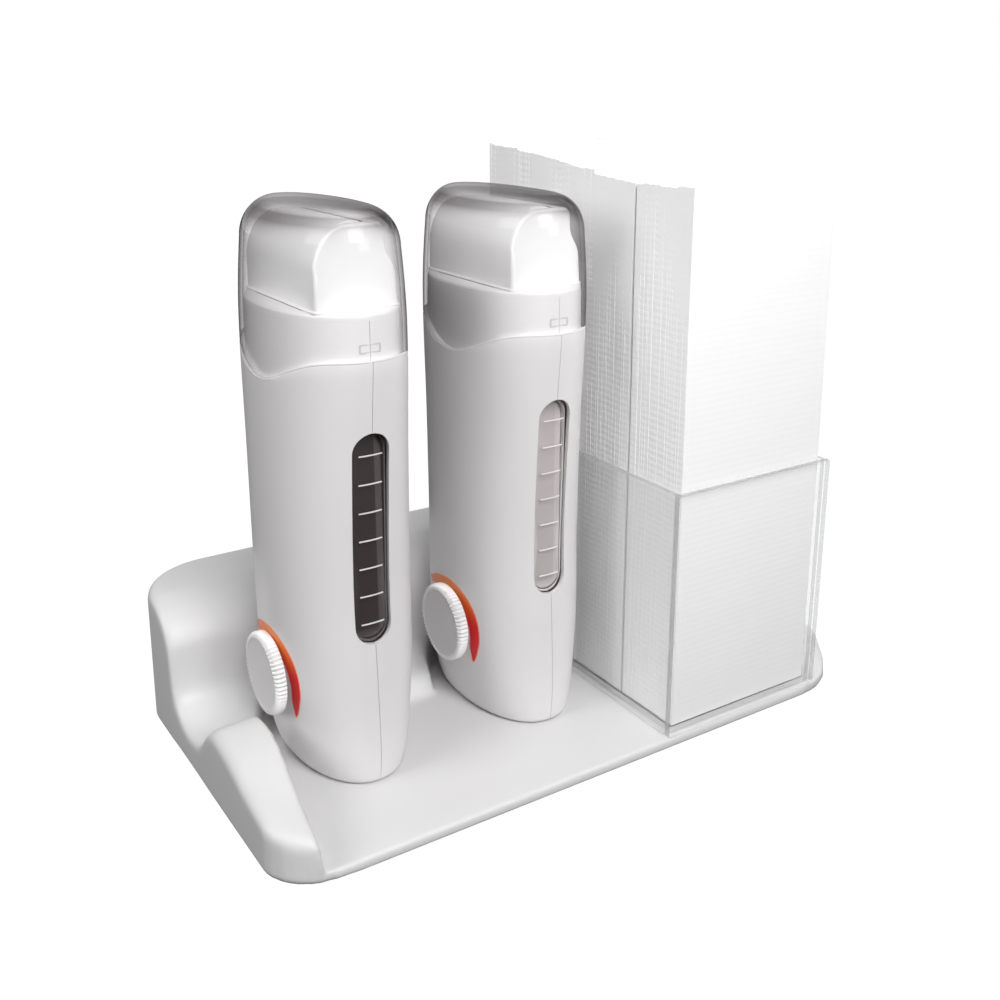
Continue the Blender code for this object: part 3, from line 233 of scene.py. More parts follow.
def moulded(name, colour, rough, drift, grain=900.0, depth=0.00002, sheen=0.5):
    """A moulding's look: slow drift in colour, fine grain in gloss and a faint surface texture."""
    look, tree, shader = start_look(name)
    slow, fine = noise(tree, 22.0, 2.0), noise(tree, grain, 4.0)
    darker = tuple(c * (1 - drift) for c in colour)
    lighter = tuple(min(1.0, c * (1 + drift)) for c in colour)
    feed(tree, shader, {
        "Base Color": blend_colour(tree, slow, darker, lighter),
        "Roughness": remap(tree, fine, rough - 0.06, rough + 0.06),
        "Specular IOR Level": sheen,
        "Normal": bump(tree, fine, 0.25, depth),
    })
    return look


def turned_metal(name, colour, rough, stretch):
    look, tree, shader = start_look(name)
    lines = noise(tree, 900.0, 3.0, stretch)
    feed(tree, shader, {
        "Base Color": blend_colour(tree, lines, tuple(c * 0.86 for c in colour), colour),
        "Roughness": remap(tree, lines, rough - 0.08, rough + 0.1),
        "Metallic": 1.0,
        "Normal": bump(tree, lines, 0.3, 0.00002),
    })
    return look


def clear(name, through, edge, start, gloss=0.06, haze=0.0, haze_colour=(0.9, 0.9, 0.9), curve=2.0,
          mirror=0.5, plain=0.012, top=None):
    """Thin clear plastic: plain through its face, darker where its wall is seen edge on.

    Start and curve say where and how sharply it darkens, mirror and plain how much it reflects edge on and
    face on. Top gives the heights between which it deepens at a thick rounded top, then clears again.
    """
    look, tree, shader = start_look(name)
    facing = add(tree, "ShaderNodeLayerWeight", {"Blend": 0.5}).outputs["Facing"]
    bend = curve
    if top:
        height = add(tree, "ShaderNodeSeparateXYZ", {0: spot(tree)}).outputs["Z"]
        deeper = remap(tree, height, curve, 0.6, *top[:2])
        bend = calc(tree, "ADD", deeper, remap(tree, height, 0.0, 3.2, *top[2:]))
    bent = calc(tree, "POWER", remap(tree, facing, 0.0, 1.0, start, 1.0), bend)
    cloud = remap(tree, noise(tree, 60.0, 2.0), 0.97, 1.03)
    tint = blend_colour(tree, calc(tree, "MULTIPLY", bent, cloud), through, edge)
    feed(tree, shader, {"Base Color": (*haze_colour, 1.0), "Roughness": 0.35, "Specular IOR Level": 0.2})
    pass_on = add(tree, "ShaderNodeBsdfTransparent", {"Color": tint}).outputs[0]
    body = add(tree, "ShaderNodeMixShader", {0: haze, 1: pass_on, 2: shader.outputs[0]}).outputs[0]
    shine = add(tree, "ShaderNodeBsdfGlossy", {"Roughness": gloss}).outputs[0]
    scuffed = remap(tree, noise(tree, 700.0, 2.0), 0.92, 1.0)
    amount = calc(tree, "MULTIPLY_ADD", calc(tree, "POWER", facing, 5.0), mirror, plain)
    mixed = {0: calc(tree, "MULTIPLY", amount, scuffed), 1: body, 2: shine}
    whole = add(tree, "ShaderNodeMixShader", mixed).outputs[0]
    tree.links.new(whole, tree.nodes["Material Output"].inputs["Surface"])
    return look


def creped(name):
    """Non-woven strip: white fibres, fine crêpe across the sheet and thin lines along the stack."""
    look, tree, shader = start_look(name)
    fibres = noise(tree, 2600.0, 4.0, (1.0, 1.0, 0.35))
    waves = noise(tree, 420.0, 2.0, (0.12, 0.12, 1.0))
    both = calc(tree, "MULTIPLY_ADD", waves, 0.5, fibres)
    share = remap(tree, both, 0.0, 1.0, 0.45, 1.05)
    feed(tree, shader, {
        "Base Color": blend_colour(tree, share, (0.96, 0.96, 0.96), (0.995, 0.995, 0.993)),
        "Roughness": 0.9,
        "Specular IOR Level": 0.15,
        "Normal": bump(tree, both, 0.2, 0.00004),
    })
    return look


def pane_look(name, colour, stripe, centre, low):
    """What shows behind a window: a plain tone, a lighter strip at its right and a grainy foot."""
    look, tree, shader = start_look(name)
    place = add(tree, "ShaderNodeSeparateXYZ", {0: spot(tree)}).outputs
    right = remap(tree, place["X"], 0.0, 1.0, centre + 0.0031, centre + 0.0035)
    foot = remap(tree, place["Z"], 1.0, 0.0, low, low + 0.0045)
    speck = remap(tree, noise(tree, 900.0), 0.8, 1.2)
    share = calc(tree, "MULTIPLY", calc(tree, "MAXIMUM", right, foot), speck)
    gloss = remap(tree, speck, 0.3, 0.42)
    feed(tree, shader, {"Base Color": blend_colour(tree, share, colour, stripe), "Roughness": gloss})
    return look


def graded_band(name, thin_end, thick_end, low, high):
    """Printed colour that runs along the band from one end to the other, by height."""
    look, tree, shader = start_look(name)
    height = add(tree, "ShaderNodeSeparateXYZ", {0: spot(tree)}).outputs["Z"]
    ramp = add(tree, "ShaderNodeValToRGB", {0: remap(tree, height, 0.0, 1.0, low, high)})
    for stop, colour in zip(ramp.color_ramp.elements, (thick_end, thin_end)):
        stop.color = (*colour, 1.0)
    speck = remap(tree, noise(tree, 1800.0), 0.94, 1.04)
    shade = add(tree, "ShaderNodeVectorMath", {0: ramp.outputs[0], "Scale": speck}, operation="SCALE")
    feed(tree, shader, {"Base Color": shade.outputs[0], "Roughness": 0.35})
    return look


FINE = 0.000006
# Colour, roughness, drift of colour, scale and depth of the grain, and sheen
MOULDED = {
    "base_white": ((0.73, 0.725, 0.725), 0.42, 0.012),
    "heater_white": ((0.77, 0.755, 0.762), 0.34, 0.015, 500.0, FINE),
    # neck_white is heater_white made lighter, for the casing's neck and the top ring under the cap: painted
    # light that makes up for the shade the clear cap casts on them.
    "neck_white": ((0.88, 0.87, 0.875), 0.40, 0.01, 500.0, FINE),
    "head_white": ((0.92, 0.92, 0.92), 0.52, 0.01, 500.0, FINE, 0.3),
    "catch": ((0.68, 0.665, 0.67), 0.35, 0.02),
    "dial_grey": ((0.76, 0.745, 0.75), 0.45, 0.03, 700.0),
    "dial_rim": ((0.82, 0.815, 0.815), 0.35, 0.02),
    "dark_plastic": ((0.045, 0.045, 0.048), 0.5, 0.1, 1600.0),
    "sleeve": ((0.20, 0.18, 0.185), 0.3, 0.15, 500.0),
    "rubber": ((0.05, 0.05, 0.052), 0.85, 0.12, 1100.0, 0.00006, 0.2),
    "board_green": ((0.04, 0.20, 0.10), 0.5, 0.18, 500.0),
    "wax_dark": ((0.062, 0.050, 0.050), 0.30, 0.25, 300.0, 0.0001),
    "wax_pale": ((0.66, 0.63, 0.63), 0.35, 0.08, 300.0, 0.0001),
    "tick_white": ((0.80, 0.79, 0.79), 0.5, 0.02),
    "tick_grey": ((0.86, 0.84, 0.84), 0.5, 0.02),
    "band_edge": ((0.90, 0.42, 0.34), 0.4, 0.03),
    "floor": ((FLOOR_ALBEDO,) * 3, 0.9, 0.004, 40.0, 0.00001, 0.0),
}
# Colour, roughness and the stretch of the tool marks
TURNED = {
    "steel": ((0.62, 0.62, 0.62), 0.28, (1.0, 1.0, 0.1)),
    "brass": ((0.76, 0.58, 0.30), 0.28, (1.0, 0.1, 1.0)),
    "aluminium": ((0.70, 0.70, 0.71), 0.36, (1.0, 1.0, 0.08)),
}
SHEET = dict(gloss=0.05, curve=5.0, mirror=0.2, plain=0.001)
# Colour through the face, colour edge on, where the edge starts, and what else differs
CLEAR = {
    "smoke_clear": (
        (0.985, 0.982, 0.983), (0.12, 0.10, 0.11), 0.0, dict(curve=4.0, top=(0.2010, 0.2085, 0.2110, 0.2128))
    ),
    "smoke_inner": ((0.992, 0.990, 0.990), (0.82, 0.80, 0.81), 0.0, dict(curve=4.0, mirror=0.2)),
    "acrylic_clear": ((1.0,) * 3, (0.93, 0.935, 0.94), 0.0, dict(SHEET, haze=0.02, haze_colour=(0.98,) * 3)),
    # acrylic_side is the clear acrylic with more white haze, for the box's left and right panels: painted
    # light that makes these sides lighter than the front.
    "acrylic_side": ((1.0,) * 3, (0.93, 0.935, 0.94), 0.0, dict(SHEET, haze=0.14, haze_colour=(0.97,) * 3)),
    # acrylic_foot is a pale, hazy copy of the acrylic for the box's bottom: painted light against the shade
    # at the foot of the box.
    "acrylic_foot": (
        (0.97, 0.973, 0.977), (0.93, 0.935, 0.94), 0.2, dict(gloss=0.2, haze=0.6, haze_colour=(0.97,) * 3)
    ),
    "acrylic_edge": (
        (0.84, 0.845, 0.85), (0.66, 0.665, 0.67), 0.2,
        dict(gloss=0.2, haze=0.30, haze_colour=(0.66, 0.66, 0.665)),
    ),
    "lens_dark": ((0.95, 0.94, 0.94), (0.45, 0.43, 0.44), 0.3, {}),
    "bottle_clear": ((0.93, 0.91, 0.90), (0.6, 0.58, 0.57), 0.3, dict(gloss=0.1)),
}
# Colour of the wax behind each heater's window, and of the lighter strip beside it
PANES = (((0.058, 0.047, 0.047), (0.13, 0.115, 0.115)), ((0.66, 0.63, 0.63), (0.74, 0.72, 0.72)))


def make_looks():
    looks = {name: moulded(name, *values) for name, values in MOULDED.items()}
    looks.update((name, turned_metal(name, *values)) for name, values in TURNED.items())
    looks.update((name, clear(name, *tones, **rest)) for name, (*tones, rest) in CLEAR.items())
    looks["strip_white"] = creped("strip_white")
    for number, (colours, centre) in enumerate(zip(PANES, HEATER_XS), 1):
        name = f"pane_{number}"
        looks[name] = pane_look(name, *colours, centre, ABOVE_SLAB + 0.057)
    low, high = ABOVE_SLAB + 0.040, ABOVE_SLAB + 0.054
    looks["band"] = graded_band("band", (0.90, 0.23, 0.03), (0.80, 0.020, 0.022), low, high)
    tree = looks["floor"].node_tree
    seen = add(tree, "ShaderNodeLightPath").outputs["Is Camera Ray"]
    lift = remap(tree, seen, 0.0, FLOOR_LIFT)
    shader = tree.nodes["Principled BSDF"]
    feed(tree, shader, {"Emission Color": (1.0, 1.0, 1.0, 1.0), "Emission Strength": lift})
    return looks


# Meshes


def shade(mesh, sharp):
    """Shades a mesh smooth, with a crease where its faces meet at more than this angle in degrees."""
    mesh.shade_smooth()
    mesh.set_sharp_from_angle(angle=math.radians(sharp))


def piece(name, points, faces, look, smooth=True, sharp=40.0):
    mesh = bpy.data.meshes.new(name)
    mesh.from_pydata([tuple(p) for p in np.asarray(points, float).tolist()], [], [tuple(f) for f in faces])
    mesh.materials.append(look)
    if smooth:
        shade(mesh, sharp)
    mesh.validate()
    return show(name, mesh)


def hand_over(obj, body, node=None):
    """Hangs a piece on the body it rides on, and hides the solid it stands for, if one is given."""
    if node:
        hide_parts(node)
    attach(obj, body)


def face_out(obj):
    bm = bmesh.new()
    bm.from_mesh(obj.data)
    bmesh.ops.recalc_face_normals(bm, faces=bm.faces)
    bm.to_mesh(obj.data)
    bm.free()
    return obj


def settle(obj):
    """Turns the piece's modifiers into its mesh."""
    bpy.context.view_layer.update()
    held = obj.evaluated_get(bpy.context.evaluated_depsgraph_get())
    mesh = bpy.data.meshes.new_from_object(held)
    old = obj.data
    obj.modifiers.clear()
    obj.data = mesh
    bpy.data.meshes.remove(old)


def cut(obj, others):
    """Cuts the others out of a piece, and removes them."""
    for other in others:
        step = obj.modifiers.new("cut", "BOOLEAN")
        step.operation, step.object, step.solver = "DIFFERENCE", other, "EXACT"
    settle(obj)
    for other in others:
        bpy.data.objects.remove(other, do_unlink=True)


def grid_quads(rows, columns, wrap=False, start=0, flip=False):
    quads = []
    reach = columns if wrap else columns - 1
    for r in range(rows - 1):
        for c in range(reach):
            a, b = start + r * columns + c, start + r * columns + (c + 1) % columns
            quad = (a, b, b + columns, a + columns)
            quads.append(quad[::-1] if flip else quad)
    return quads


def sheet_faces(rows, columns, start=0):
    """The faces of a closed thin solid between two grids of points, the second numbered after the first."""
    size = rows * columns
    faces = grid_quads(rows, columns, start=start) + grid_quads(rows, columns, start=start + size, flip=True)
    ends = [(r * columns + c, columns) for r in range(rows - 1) for c in (0, columns - 1)]
    ends += [(r * columns + c, 1) for c in range(columns - 1) for r in (0, rows - 1)]
    for first, step in ends:
        a, b = start + first, start + first + step
        faces.append((a, b, b + size, a + size))
    return faces


def panel(name, outer, inner, look):
    """A closed thin solid between two grids of points with the same rows and columns."""
    outer, inner = np.asarray(outer, float), np.asarray(inner, float)
    points = np.concatenate([outer.reshape(-1, 3), inner.reshape(-1, 3)])
    return face_out(piece(name, points, sheet_faces(*outer.shape[:2]), look))


def lofted(name, rings, look, closed_path=False, **kwargs):
    """A closed solid over rings of points, capped at both ends unless the path closes."""
    rings = np.asarray(rings, float)
    rows, columns = rings.shape[:2]
    faces = grid_quads(rows, columns, wrap=True)
    if closed_path:
        last = (rows - 1) * columns
        for c in range(columns):
            d = (c + 1) % columns
            faces.append((last + c, last + d, d, c))
    else:
        faces.append(tuple(range(columns))[::-1])
        faces.append(tuple(range((rows - 1) * columns, rows * columns)))
    return face_out(piece(name, rings.reshape(-1, 3), faces, look, **kwargs))


def rod(name, outline, ends, axis, look, **kwargs):
    """A straight solid of one outline, between two places along an axis."""
    return lofted(name, [np.insert(outline, axis, end, axis=1) for end in ends], look, **kwargs)


def smooth_steps(rows, at):
    """What a table gives at a place in its first column, on one smooth curve through its rows."""
    last = len(rows) - 1
    if at <= rows[0][0]:
        return rows[0][1:]
    if at >= rows[last][0]:
        return rows[last][1:]
    k = max(i for i in range(last) if rows[i][0] <= at)
    before, low, high, after = rows[max(k - 1, 0)], rows[k], rows[k + 1], rows[min(k + 2, last)]
    span = high[0] - low[0]
    t = (at - low[0]) / span
    values = []
    for n in range(1, len(low)):
        start = (high[n] - before[n]) / (high[0] - before[0]) * span
        end = (after[n] - low[n]) / (after[0] - low[0]) * span
        values.append(
            low[n] * (2 * t**3 - 3 * t**2 + 1) + start * (t**3 - 2 * t**2 + t)
            + high[n] * (3 * t**2 - 2 * t**3) + end * (t**3 - t**2)
        )
    return tuple(values)


# Heater body, in the frame of its own dock


def body_size(height):
    thick, width = smooth_steps(BODY_PROFILE_SHARES, height / BODY_HEIGHT)
    return HALF_THICK * thick, HALF_WIDTH * width


def oval(half_thick, half_width, turn):
    power = 2 / ROUNDNESS
    across, along = math.cos(turn), math.sin(turn)
    return (
        math.copysign(half_thick * abs(across) ** power, across),
        math.copysign(half_width * abs(along) ** power, along),
    )


def body_point(height, inset, turn):
    half_thick, half_width = body_size(height)
    return (*oval(half_thick - inset, half_width - inset, turn), height)


def neck_size(height):
    return body_size(height)[0] - CAP_SEAT, body_size(CAP_EDGE)[1] - CAP_SEAT


def neck_point(height, inset, turn):
    half_thick, half_width = neck_size(height)
    return (*oval(half_thick - inset, half_width - inset, turn), height)


def bow(offset, across, along):
    """How far out an oval's edge is, beside an offset from its middle."""
    return along * max(0.0, 1 - abs(offset / across) ** ROUNDNESS) ** (1 / ROUNDNESS)


def side_x(y, height):
    """How far the body's broad face is from its middle."""
    half_thick, half_width = body_size(height)
    return bow(y, half_width, half_thick)


def front_y(x, height):
    return -bow(x, *body_size(height))


def edge_beside(y):
    """The height of the cap's edge, which dips across the middle of the heater's broad faces."""
    share = (y + CAP_DIP_FORWARD) / CAP_DIP_HALF
    return CAP_EDGE - (CAP_DIP * (1 + math.cos(math.pi * share)) / 2 if abs(share) < 1 else 0.0)


def edge_height(turn):
    return edge_beside(body_point(CAP_EDGE, 0.0, turn)[1])


def round_turns(count):
    return [2 * math.pi * i / count for i in range(count)]


def circle(radius, centre, count):
    return [(centre[0] + radius * math.cos(t), centre[1] + radius * math.sin(t)) for t in round_turns(count)]


def mirrored(rows):
    """Rows followed by the same rows on the other side, so that both ends match."""
    return [*rows, *((-place, size) for place, size in reversed(rows))]


def put(obj, number):
    """Moves a heater's piece from its dock's frame to its place on the base."""
    shift = Vector((HEATER_XS[number - 1], HEATER_Y, ABOVE_SLAB))
    for vertex in obj.data.vertices:
        vertex.co += shift
    return obj


def stadium(width, bottom, top, steps=16):
    radius = width / 2
    points = []
    for middle, start in ((top - radius, 0.0), (bottom + radius, math.pi)):
        for i in range(steps + 1):
            turn = start + math.pi * i / steps
            points.append((radius * math.cos(turn), middle + radius * math.sin(turn)))
    return points


def make_casing(number, part, side, looks):
    """One of a heater's two shells, with its half of the neck that the cap sits on."""
    steps, seam, rounding, thicker = 64, 0.00008, 0.0022, 0.0008
    low_edge = CAP_EDGE - CAP_DIP - 0.0015
    neck_foot, neck_top = CAP_EDGE + 0.0016, BODY_HEIGHT - COLLAR_THICK
    turns = [math.pi * i / steps - side * math.pi / 2 for i in range(steps + 1)]
    outer, inner = [], []

    def level(outside, inside):
        outer.append([outside(t) for t in turns])
        inner.append([inside(t) for t in turns])

    for k in range(6):
        bend = math.pi / 2 * k / 5
        height, inset = rounding * (1 - math.cos(bend)), rounding * (1 - math.sin(bend))
        level(lambda t: body_point(height, inset, t), lambda t: body_point(height, SKIN + thicker, t))
    for k in range(1, 47):
        height = rounding + (low_edge - rounding) * k / 46
        level(lambda t: body_point(height, 0.0, t), lambda t: body_point(height, SKIN, t))
    for share, inset in ((0.5, 0.0), (0.9, 0.0), (1.0, 0.00025)):
        level(
            lambda t: body_point(low_edge + (edge_height(t) - low_edge) * share, inset, t),
            lambda t: body_point(low_edge + 0.002 * share, SKIN, t),
        )
    level(lambda t: neck_point(edge_height(t) + 0.0001, 0.0, t), lambda t: neck_point(neck_foot, SKIN, t))
    for k in range(1, 9):
        level(
            lambda t: neck_point(edge_height(t) + (neck_top - edge_height(t)) * k / 8, 0.0, t),
            lambda t: neck_point(neck_foot + (neck_top - neck_foot) * k / 8, SKIN, t),
        )
    outer, inner = np.array(outer), np.array(inner)
    for grid in (outer, inner):
        grid[:, :, 0] += side * seam
    shell = panel(f"heater_{number}_casing_{part}", outer, inner, looks["heater_white"])
    beyond, behind_window = 0.004, -0.0262
    hole = stadium(WINDOW_WIDTH, WINDOW_BOTTOM, WINDOW_TOP)
    cutters = [rod("hole", hole, (-HALF_WIDTH - beyond, behind_window), 1, looks["heater_white"])]
    if side < 0:
        bore = circle(0.0028, (-DIAL_FORWARD, DIAL_HEIGHT), 32)
        cutters.append(rod("shaft_hole", bore, (-HALF_THICK - beyond, 0.0), 0, looks["heater_white"]))
    cut(shell, cutters)
    shade(shell.data, 35)
    # The neck's faces above the cap's edge take neck_white, a lighter copy of the heater's white: painted
    # light against the shade under the cap.
    shell.data.materials.append(looks["neck_white"])
    for face in shell.data.polygons:
        if face.center.z > edge_beside(face.center.y) - 0.0001:
            face.material_index = 1
    hand_over(put(shell, number), f"heater_{number}", f"heater_{number}_shell_{part}")


def front_strip(low, high, reach, recess, thick, columns, rows):
    """Two grids behind the front face: a sheet that follows it at a recess, and its back.

    Reach gives the sheet's left and right edge at a height.
    """
    outer, inner = [], []
    for r in range(rows + 1):
        z = low + (high - low) * r / rows
        left, right = reach(z)
        xs = [left + (right - left) * c / columns for c in range(columns + 1)]
        outer.append([(x, front_y(x, z) + recess, z) for x in xs])
        inner.append([(x, y + thick, z) for x, y, z in outer[-1]])
    return outer, inner


def slot_reach(width, bottom, top):
    radius = width / 2

    def reach(z):
        d = max(0.0, min(z - bottom, top - z))
        half = radius if d >= radius else math.sqrt(max(1e-10, radius**2 - (radius - d) ** 2))
        return -half, half

    return reach


def make_window(number, looks):
    """The lens, and the sight cup behind it."""
    body, dark = f"heater_{number}", number == 1
    inset, hair, lens_thick, wall = 0.00025, 0.00001, 0.0012, 0.0006
    behind, cup_floor = LENS_RECESS + 0.0016, -0.0315
    width, bottom, top = WINDOW_WIDTH - 2 * inset, WINDOW_BOTTOM + inset, WINDOW_TOP - inset
    reach = slot_reach(width, bottom, top)
    outer, inner = front_strip(bottom + hair, top - hair, reach, LENS_RECESS, lens_thick, 12, 90)
    lens = panel(f"{body}_window", outer, inner, looks["lens_dark"])
    hand_over(put(lens, number), body, f"{body}_window_lens")

    line = stadium(width, bottom, top, 24)
    back = stadium(width - 2 * wall, bottom + wall, top - wall, 24)
    rings = [
        [(x, front_y(x, z) + behind, z) for x, z in line],
        [(x, cup_floor, z) for x, z in line],
        [(x, cup_floor, z) for x, z in back],
        [(x, front_y(x, z) + behind, z) for x, z in back],
    ]
    cup = lofted(f"{body}_sight_sleeve", rings, looks["sleeve" if dark else "tick_grey"], True)
    hand_over(put(cup, number), body)
    middle = (bottom + top) / 2
    rings = [
        [(x * share, cup_floor + depth, (z - middle) * share + middle) for x, z in back]
        for share, depth in ((0.90, -0.0001), (0.99, 0.0002), (0.99, 0.001))
    ]
    pane = lofted(f"{body}_sight_pane", rings, looks[f"pane_{number}"])
    hand_over(put(pane, number), body)


def make_scale(number, looks):
    """The lines across the window, just proud of its lens."""
    count, lowest, apart, half_line, ends = 7, 0.0631, 0.0105, 0.00025, (-0.0043, 0.0046)
    recess, thick = LENS_RECESS - 0.00022, 0.0002
    points, faces = [], []
    for k in range(count):
        z = lowest + apart * k
        grids = front_strip(z - half_line, z + half_line, lambda z: ends, recess, thick, 6, 1)
        faces += sheet_faces(2, 7, len(points))
        points += [p for grid in grids for line in grid for p in line]
    look = looks["tick_white" if number == 1 else "tick_grey"]
    ticks = face_out(piece(f"heater_{number}_scale", points, faces, look))
    hand_over(put(ticks, number), f"heater_{number}")


def make_collar(number, looks):
    turns = round_turns(128)
    seat, radius = 0.00003, 0.0010
    low, high = BODY_HEIGHT - COLLAR_THICK + seat, BODY_HEIGHT
    rings = [[neck_point(low, 0.0, t) for t in turns]]
    for k in range(6):
        bend = math.pi / 2 * k / 5
        height, inset = high - radius + radius * math.sin(bend), radius * (1 - math.cos(bend))
        rings.append([neck_point(height, inset, t) for t in turns])
    half_x, half_y, corner, tiny = 0.01625, 0.0262, 0.006, 1e-9
    mouth = []
    for t in turns:
        scale = min(half_x / max(abs(math.cos(t)), tiny), half_y / max(abs(math.sin(t)), tiny))
        x, y = math.cos(t) * scale, math.sin(t) * scale
        over_x, over_y = abs(x) - (half_x - corner), abs(y) - (half_y - corner)
        if over_x > 0 and over_y > 0:
            length = math.hypot(over_x, over_y)
            x = math.copysign(half_x - corner + over_x / length * corner, x)
            y = math.copysign(half_y - corner + over_y / length * corner, y)
        mouth.append((x, y))
    rings += [[(x, y, z) for x, y in mouth] for z in (high, low)]
    # The top ring takes the same lighter white, painted light against the shade under the cap.
    collar = lofted(f"heater_{number}_top_ring", rings, looks["neck_white"], True)
    hand_over(put(collar, number), f"heater_{number}", f"heater_{number}_collar")


def make_catch(number, looks):
    """The bare raised frame of the cap's catch, on the seam under the cap."""
    half, low, high, bar, radius = 0.0040, 0.1619, 0.1652, 0.0006, 0.0005
    sunk, proud = 0.00004, 0.00022
    outlines = []
    for grow in (0.0, -bar):
        side, bottom, top = half + grow - radius, low - grow + radius, high + grow - radius
        line = []
        for x, z, start in ((side, top, 0.0), (-side, top, 0.5), (-side, bottom, 1.0), (side, bottom, 1.5)):
            for i in range(5):
                turn = math.pi * (start + 0.5 * i / 4)
                line.append((x + radius * math.cos(turn), z + radius * math.sin(turn)))
        outlines.append(line)
    outside, inside = outlines
    rings = [
        [(x, -bow(x, *neck_size(z)) - lift, z) for x, z in line]
        for line, lift in ((outside, sunk), (outside, proud), (inside, proud), (inside, sunk))
    ]
    catch = lofted(f"heater_{number}_catch", rings, looks["catch"], True)
    hand_over(put(catch, number), f"heater_{number}")


def make_cap(number, looks):
    """The clear hood: walls that taper in to a rounded top, with its lowest band and rim faces in opaque
    white as a painted highlight for the bright line along its lower edge.
    """
    turns = round_turns(144)
    lift, rim, crown_rise = 0.0007, 0.0006, 0.00035
    straight_top = HEATER_HEIGHT - DOME_RISE
    half_thick, half_width = body_size(straight_top)
    lows = [edge_height(t) + lift for t in turns]

    def wall(inset):
        rings = []
        for k in range(17):
            share = k / 16
            thinner = inset + CAP_TAPER * share**2
            heights = [z + (straight_top - z) * share for z in lows]
            rings.append([body_point(z, thinner, t) for t, z in zip(turns, heights)])
        for k in range(1, 15):
            bend = math.pi / 2 * k / 14
            back = 1 - math.cos(bend)
            size = (
                half_thick - CAP_TAPER - inset - (DOME_BROAD - inset) * back,
                half_width - CAP_TAPER - inset - (DOME_END - inset) * back,
            )
            rise = (DOME_RISE - inset) * math.sin(bend)
            rings.append([(*oval(*size, t), straight_top + rise) for t in turns])
        flat = rings[-1]
        for share in (0.92, 0.8, 0.6, 0.35, 0.06):
            rings.append([(x * share, y * share, z + crown_rise * (1 - share**2)) for x, y, z in flat])
        return rings

    outer, inner = wall(0.0), wall(CAP_SKIN)
    for rings in (outer, inner):
        rings.insert(0, [(x, y, z - rim) for x, y, z in rings[0]])
    cap = lofted(f"heater_{number}_hood", [*inner[::-1], *outer], looks["smoke_clear"], sharp=60.0)
    cap.data.materials.append(looks["smoke_inner"])
    # The rim's faces take head_white: a painted highlight for the bright line where light catches the clear
    # rim.
    cap.data.materials.append(looks["head_white"])
    faces = cap.data.polygons
    for k, face in enumerate(faces):
        ring = k // len(turns)
        face.material_index = 1 if ring < len(inner) - 1 else 2 if ring <= len(inner) else 0
    faces[len(faces) - 2].material_index = 1
    hand_over(put(cap, number), f"cap_{number}", f"heater_{number}_cap")


# Distance from the dial's back, radius, and how deep the rim's teeth are there as a share of a whole tooth
DIAL_ROWS = (
    (0.0, 0.0150, 0.0), (0.0003, DIAL_RADIUS, 1.0), (0.0030, DIAL_RADIUS, 1.0), (0.0036, 0.0154, 1.0),
    (0.0040, 0.0150, 1.0), (0.0042, 0.0145, 0.9), (0.00425, 0.0139, 0.5), (0.0042, 0.0135, 0.0),
    (0.00395, 0.0131, 0.0), (0.0039, 0.0126, 0.0), (0.0040, 0.0080, 0.0), (0.0041, 0.0030, 0.0),
)


def make_dial(number, looks):
    teeth, per_tooth, tooth_deep, tooth_back, front = 60, 8, 0.0009, 0.0007, 0.0035
    cx, cy, cz = HEATER_XS[number - 1], HEATER_Y - DIAL_FORWARD, ABOVE_SLAB + DIAL_HEIGHT
    back = cx - body_size(DIAL_HEIGHT + DIAL_RADIUS)[0] - GAP
    rings = []
    for reach, radius, depth in DIAL_ROWS:
        ring = []
        for i, turn in enumerate(round_turns(teeth * per_tooth)):
            dip = 0.5 - 0.5 * math.cos(2 * math.pi * (i % per_tooth) / per_tooth)
            r = radius - tooth_deep * depth * dip**0.8
            x = back - reach + (tooth_back * depth * dip if reach > front else 0.0)
            ring.append((x, cy + r * math.cos(turn), cz + r * math.sin(turn)))
        rings.append(ring)
    knob = lofted(f"heater_{number}_dial_knob", rings, looks["dial_rim"], sharp=50.0)
    knob.data.materials.append(looks["dial_grey"])
    for face in knob.data.polygons:
        middle = face.center
        if math.hypot(middle.y - cy, middle.z - cz) < 0.0134 and middle.x < back - 0.003:
            face.material_index = 1
    shaft = circle(0.0025, (cy, cz), 32)
    stem = rod(f"heater_{number}_dial_stem", shaft, (back + 0.0001, back + 0.006), 0, looks["dial_grey"])
    hand_over(knob, f"dial_{number}", f"heater_{number}_dial")
    hand_over(stem, f"dial_{number}")


# Angle round the dial's axis from the front, and the band's inner and outer reach in millimetres
BAND = (
    (150, 19.9, 23.0), (140, 17.6, 21.0), (128, 15.6, 19.7), (115, 14.0, 18.7), (103, 13.0, 18.2),
    (88, 12.1, 18.1), (72, 11.7, 17.9), (56, 11.5, 17.6), (42, 11.5, 17.2), (28, 11.5, 16.8),
    (12, 11.7, 16.5), (-3, 12.1, 16.5), (-14, 12.5, 16.8), (-27, 13.2, 17.2), (-34, 13.9, 17.7),
    (-40, 15.2, 18.2), (-46, 17.2, 18.7), (-49, 18.5, 18.7),
)


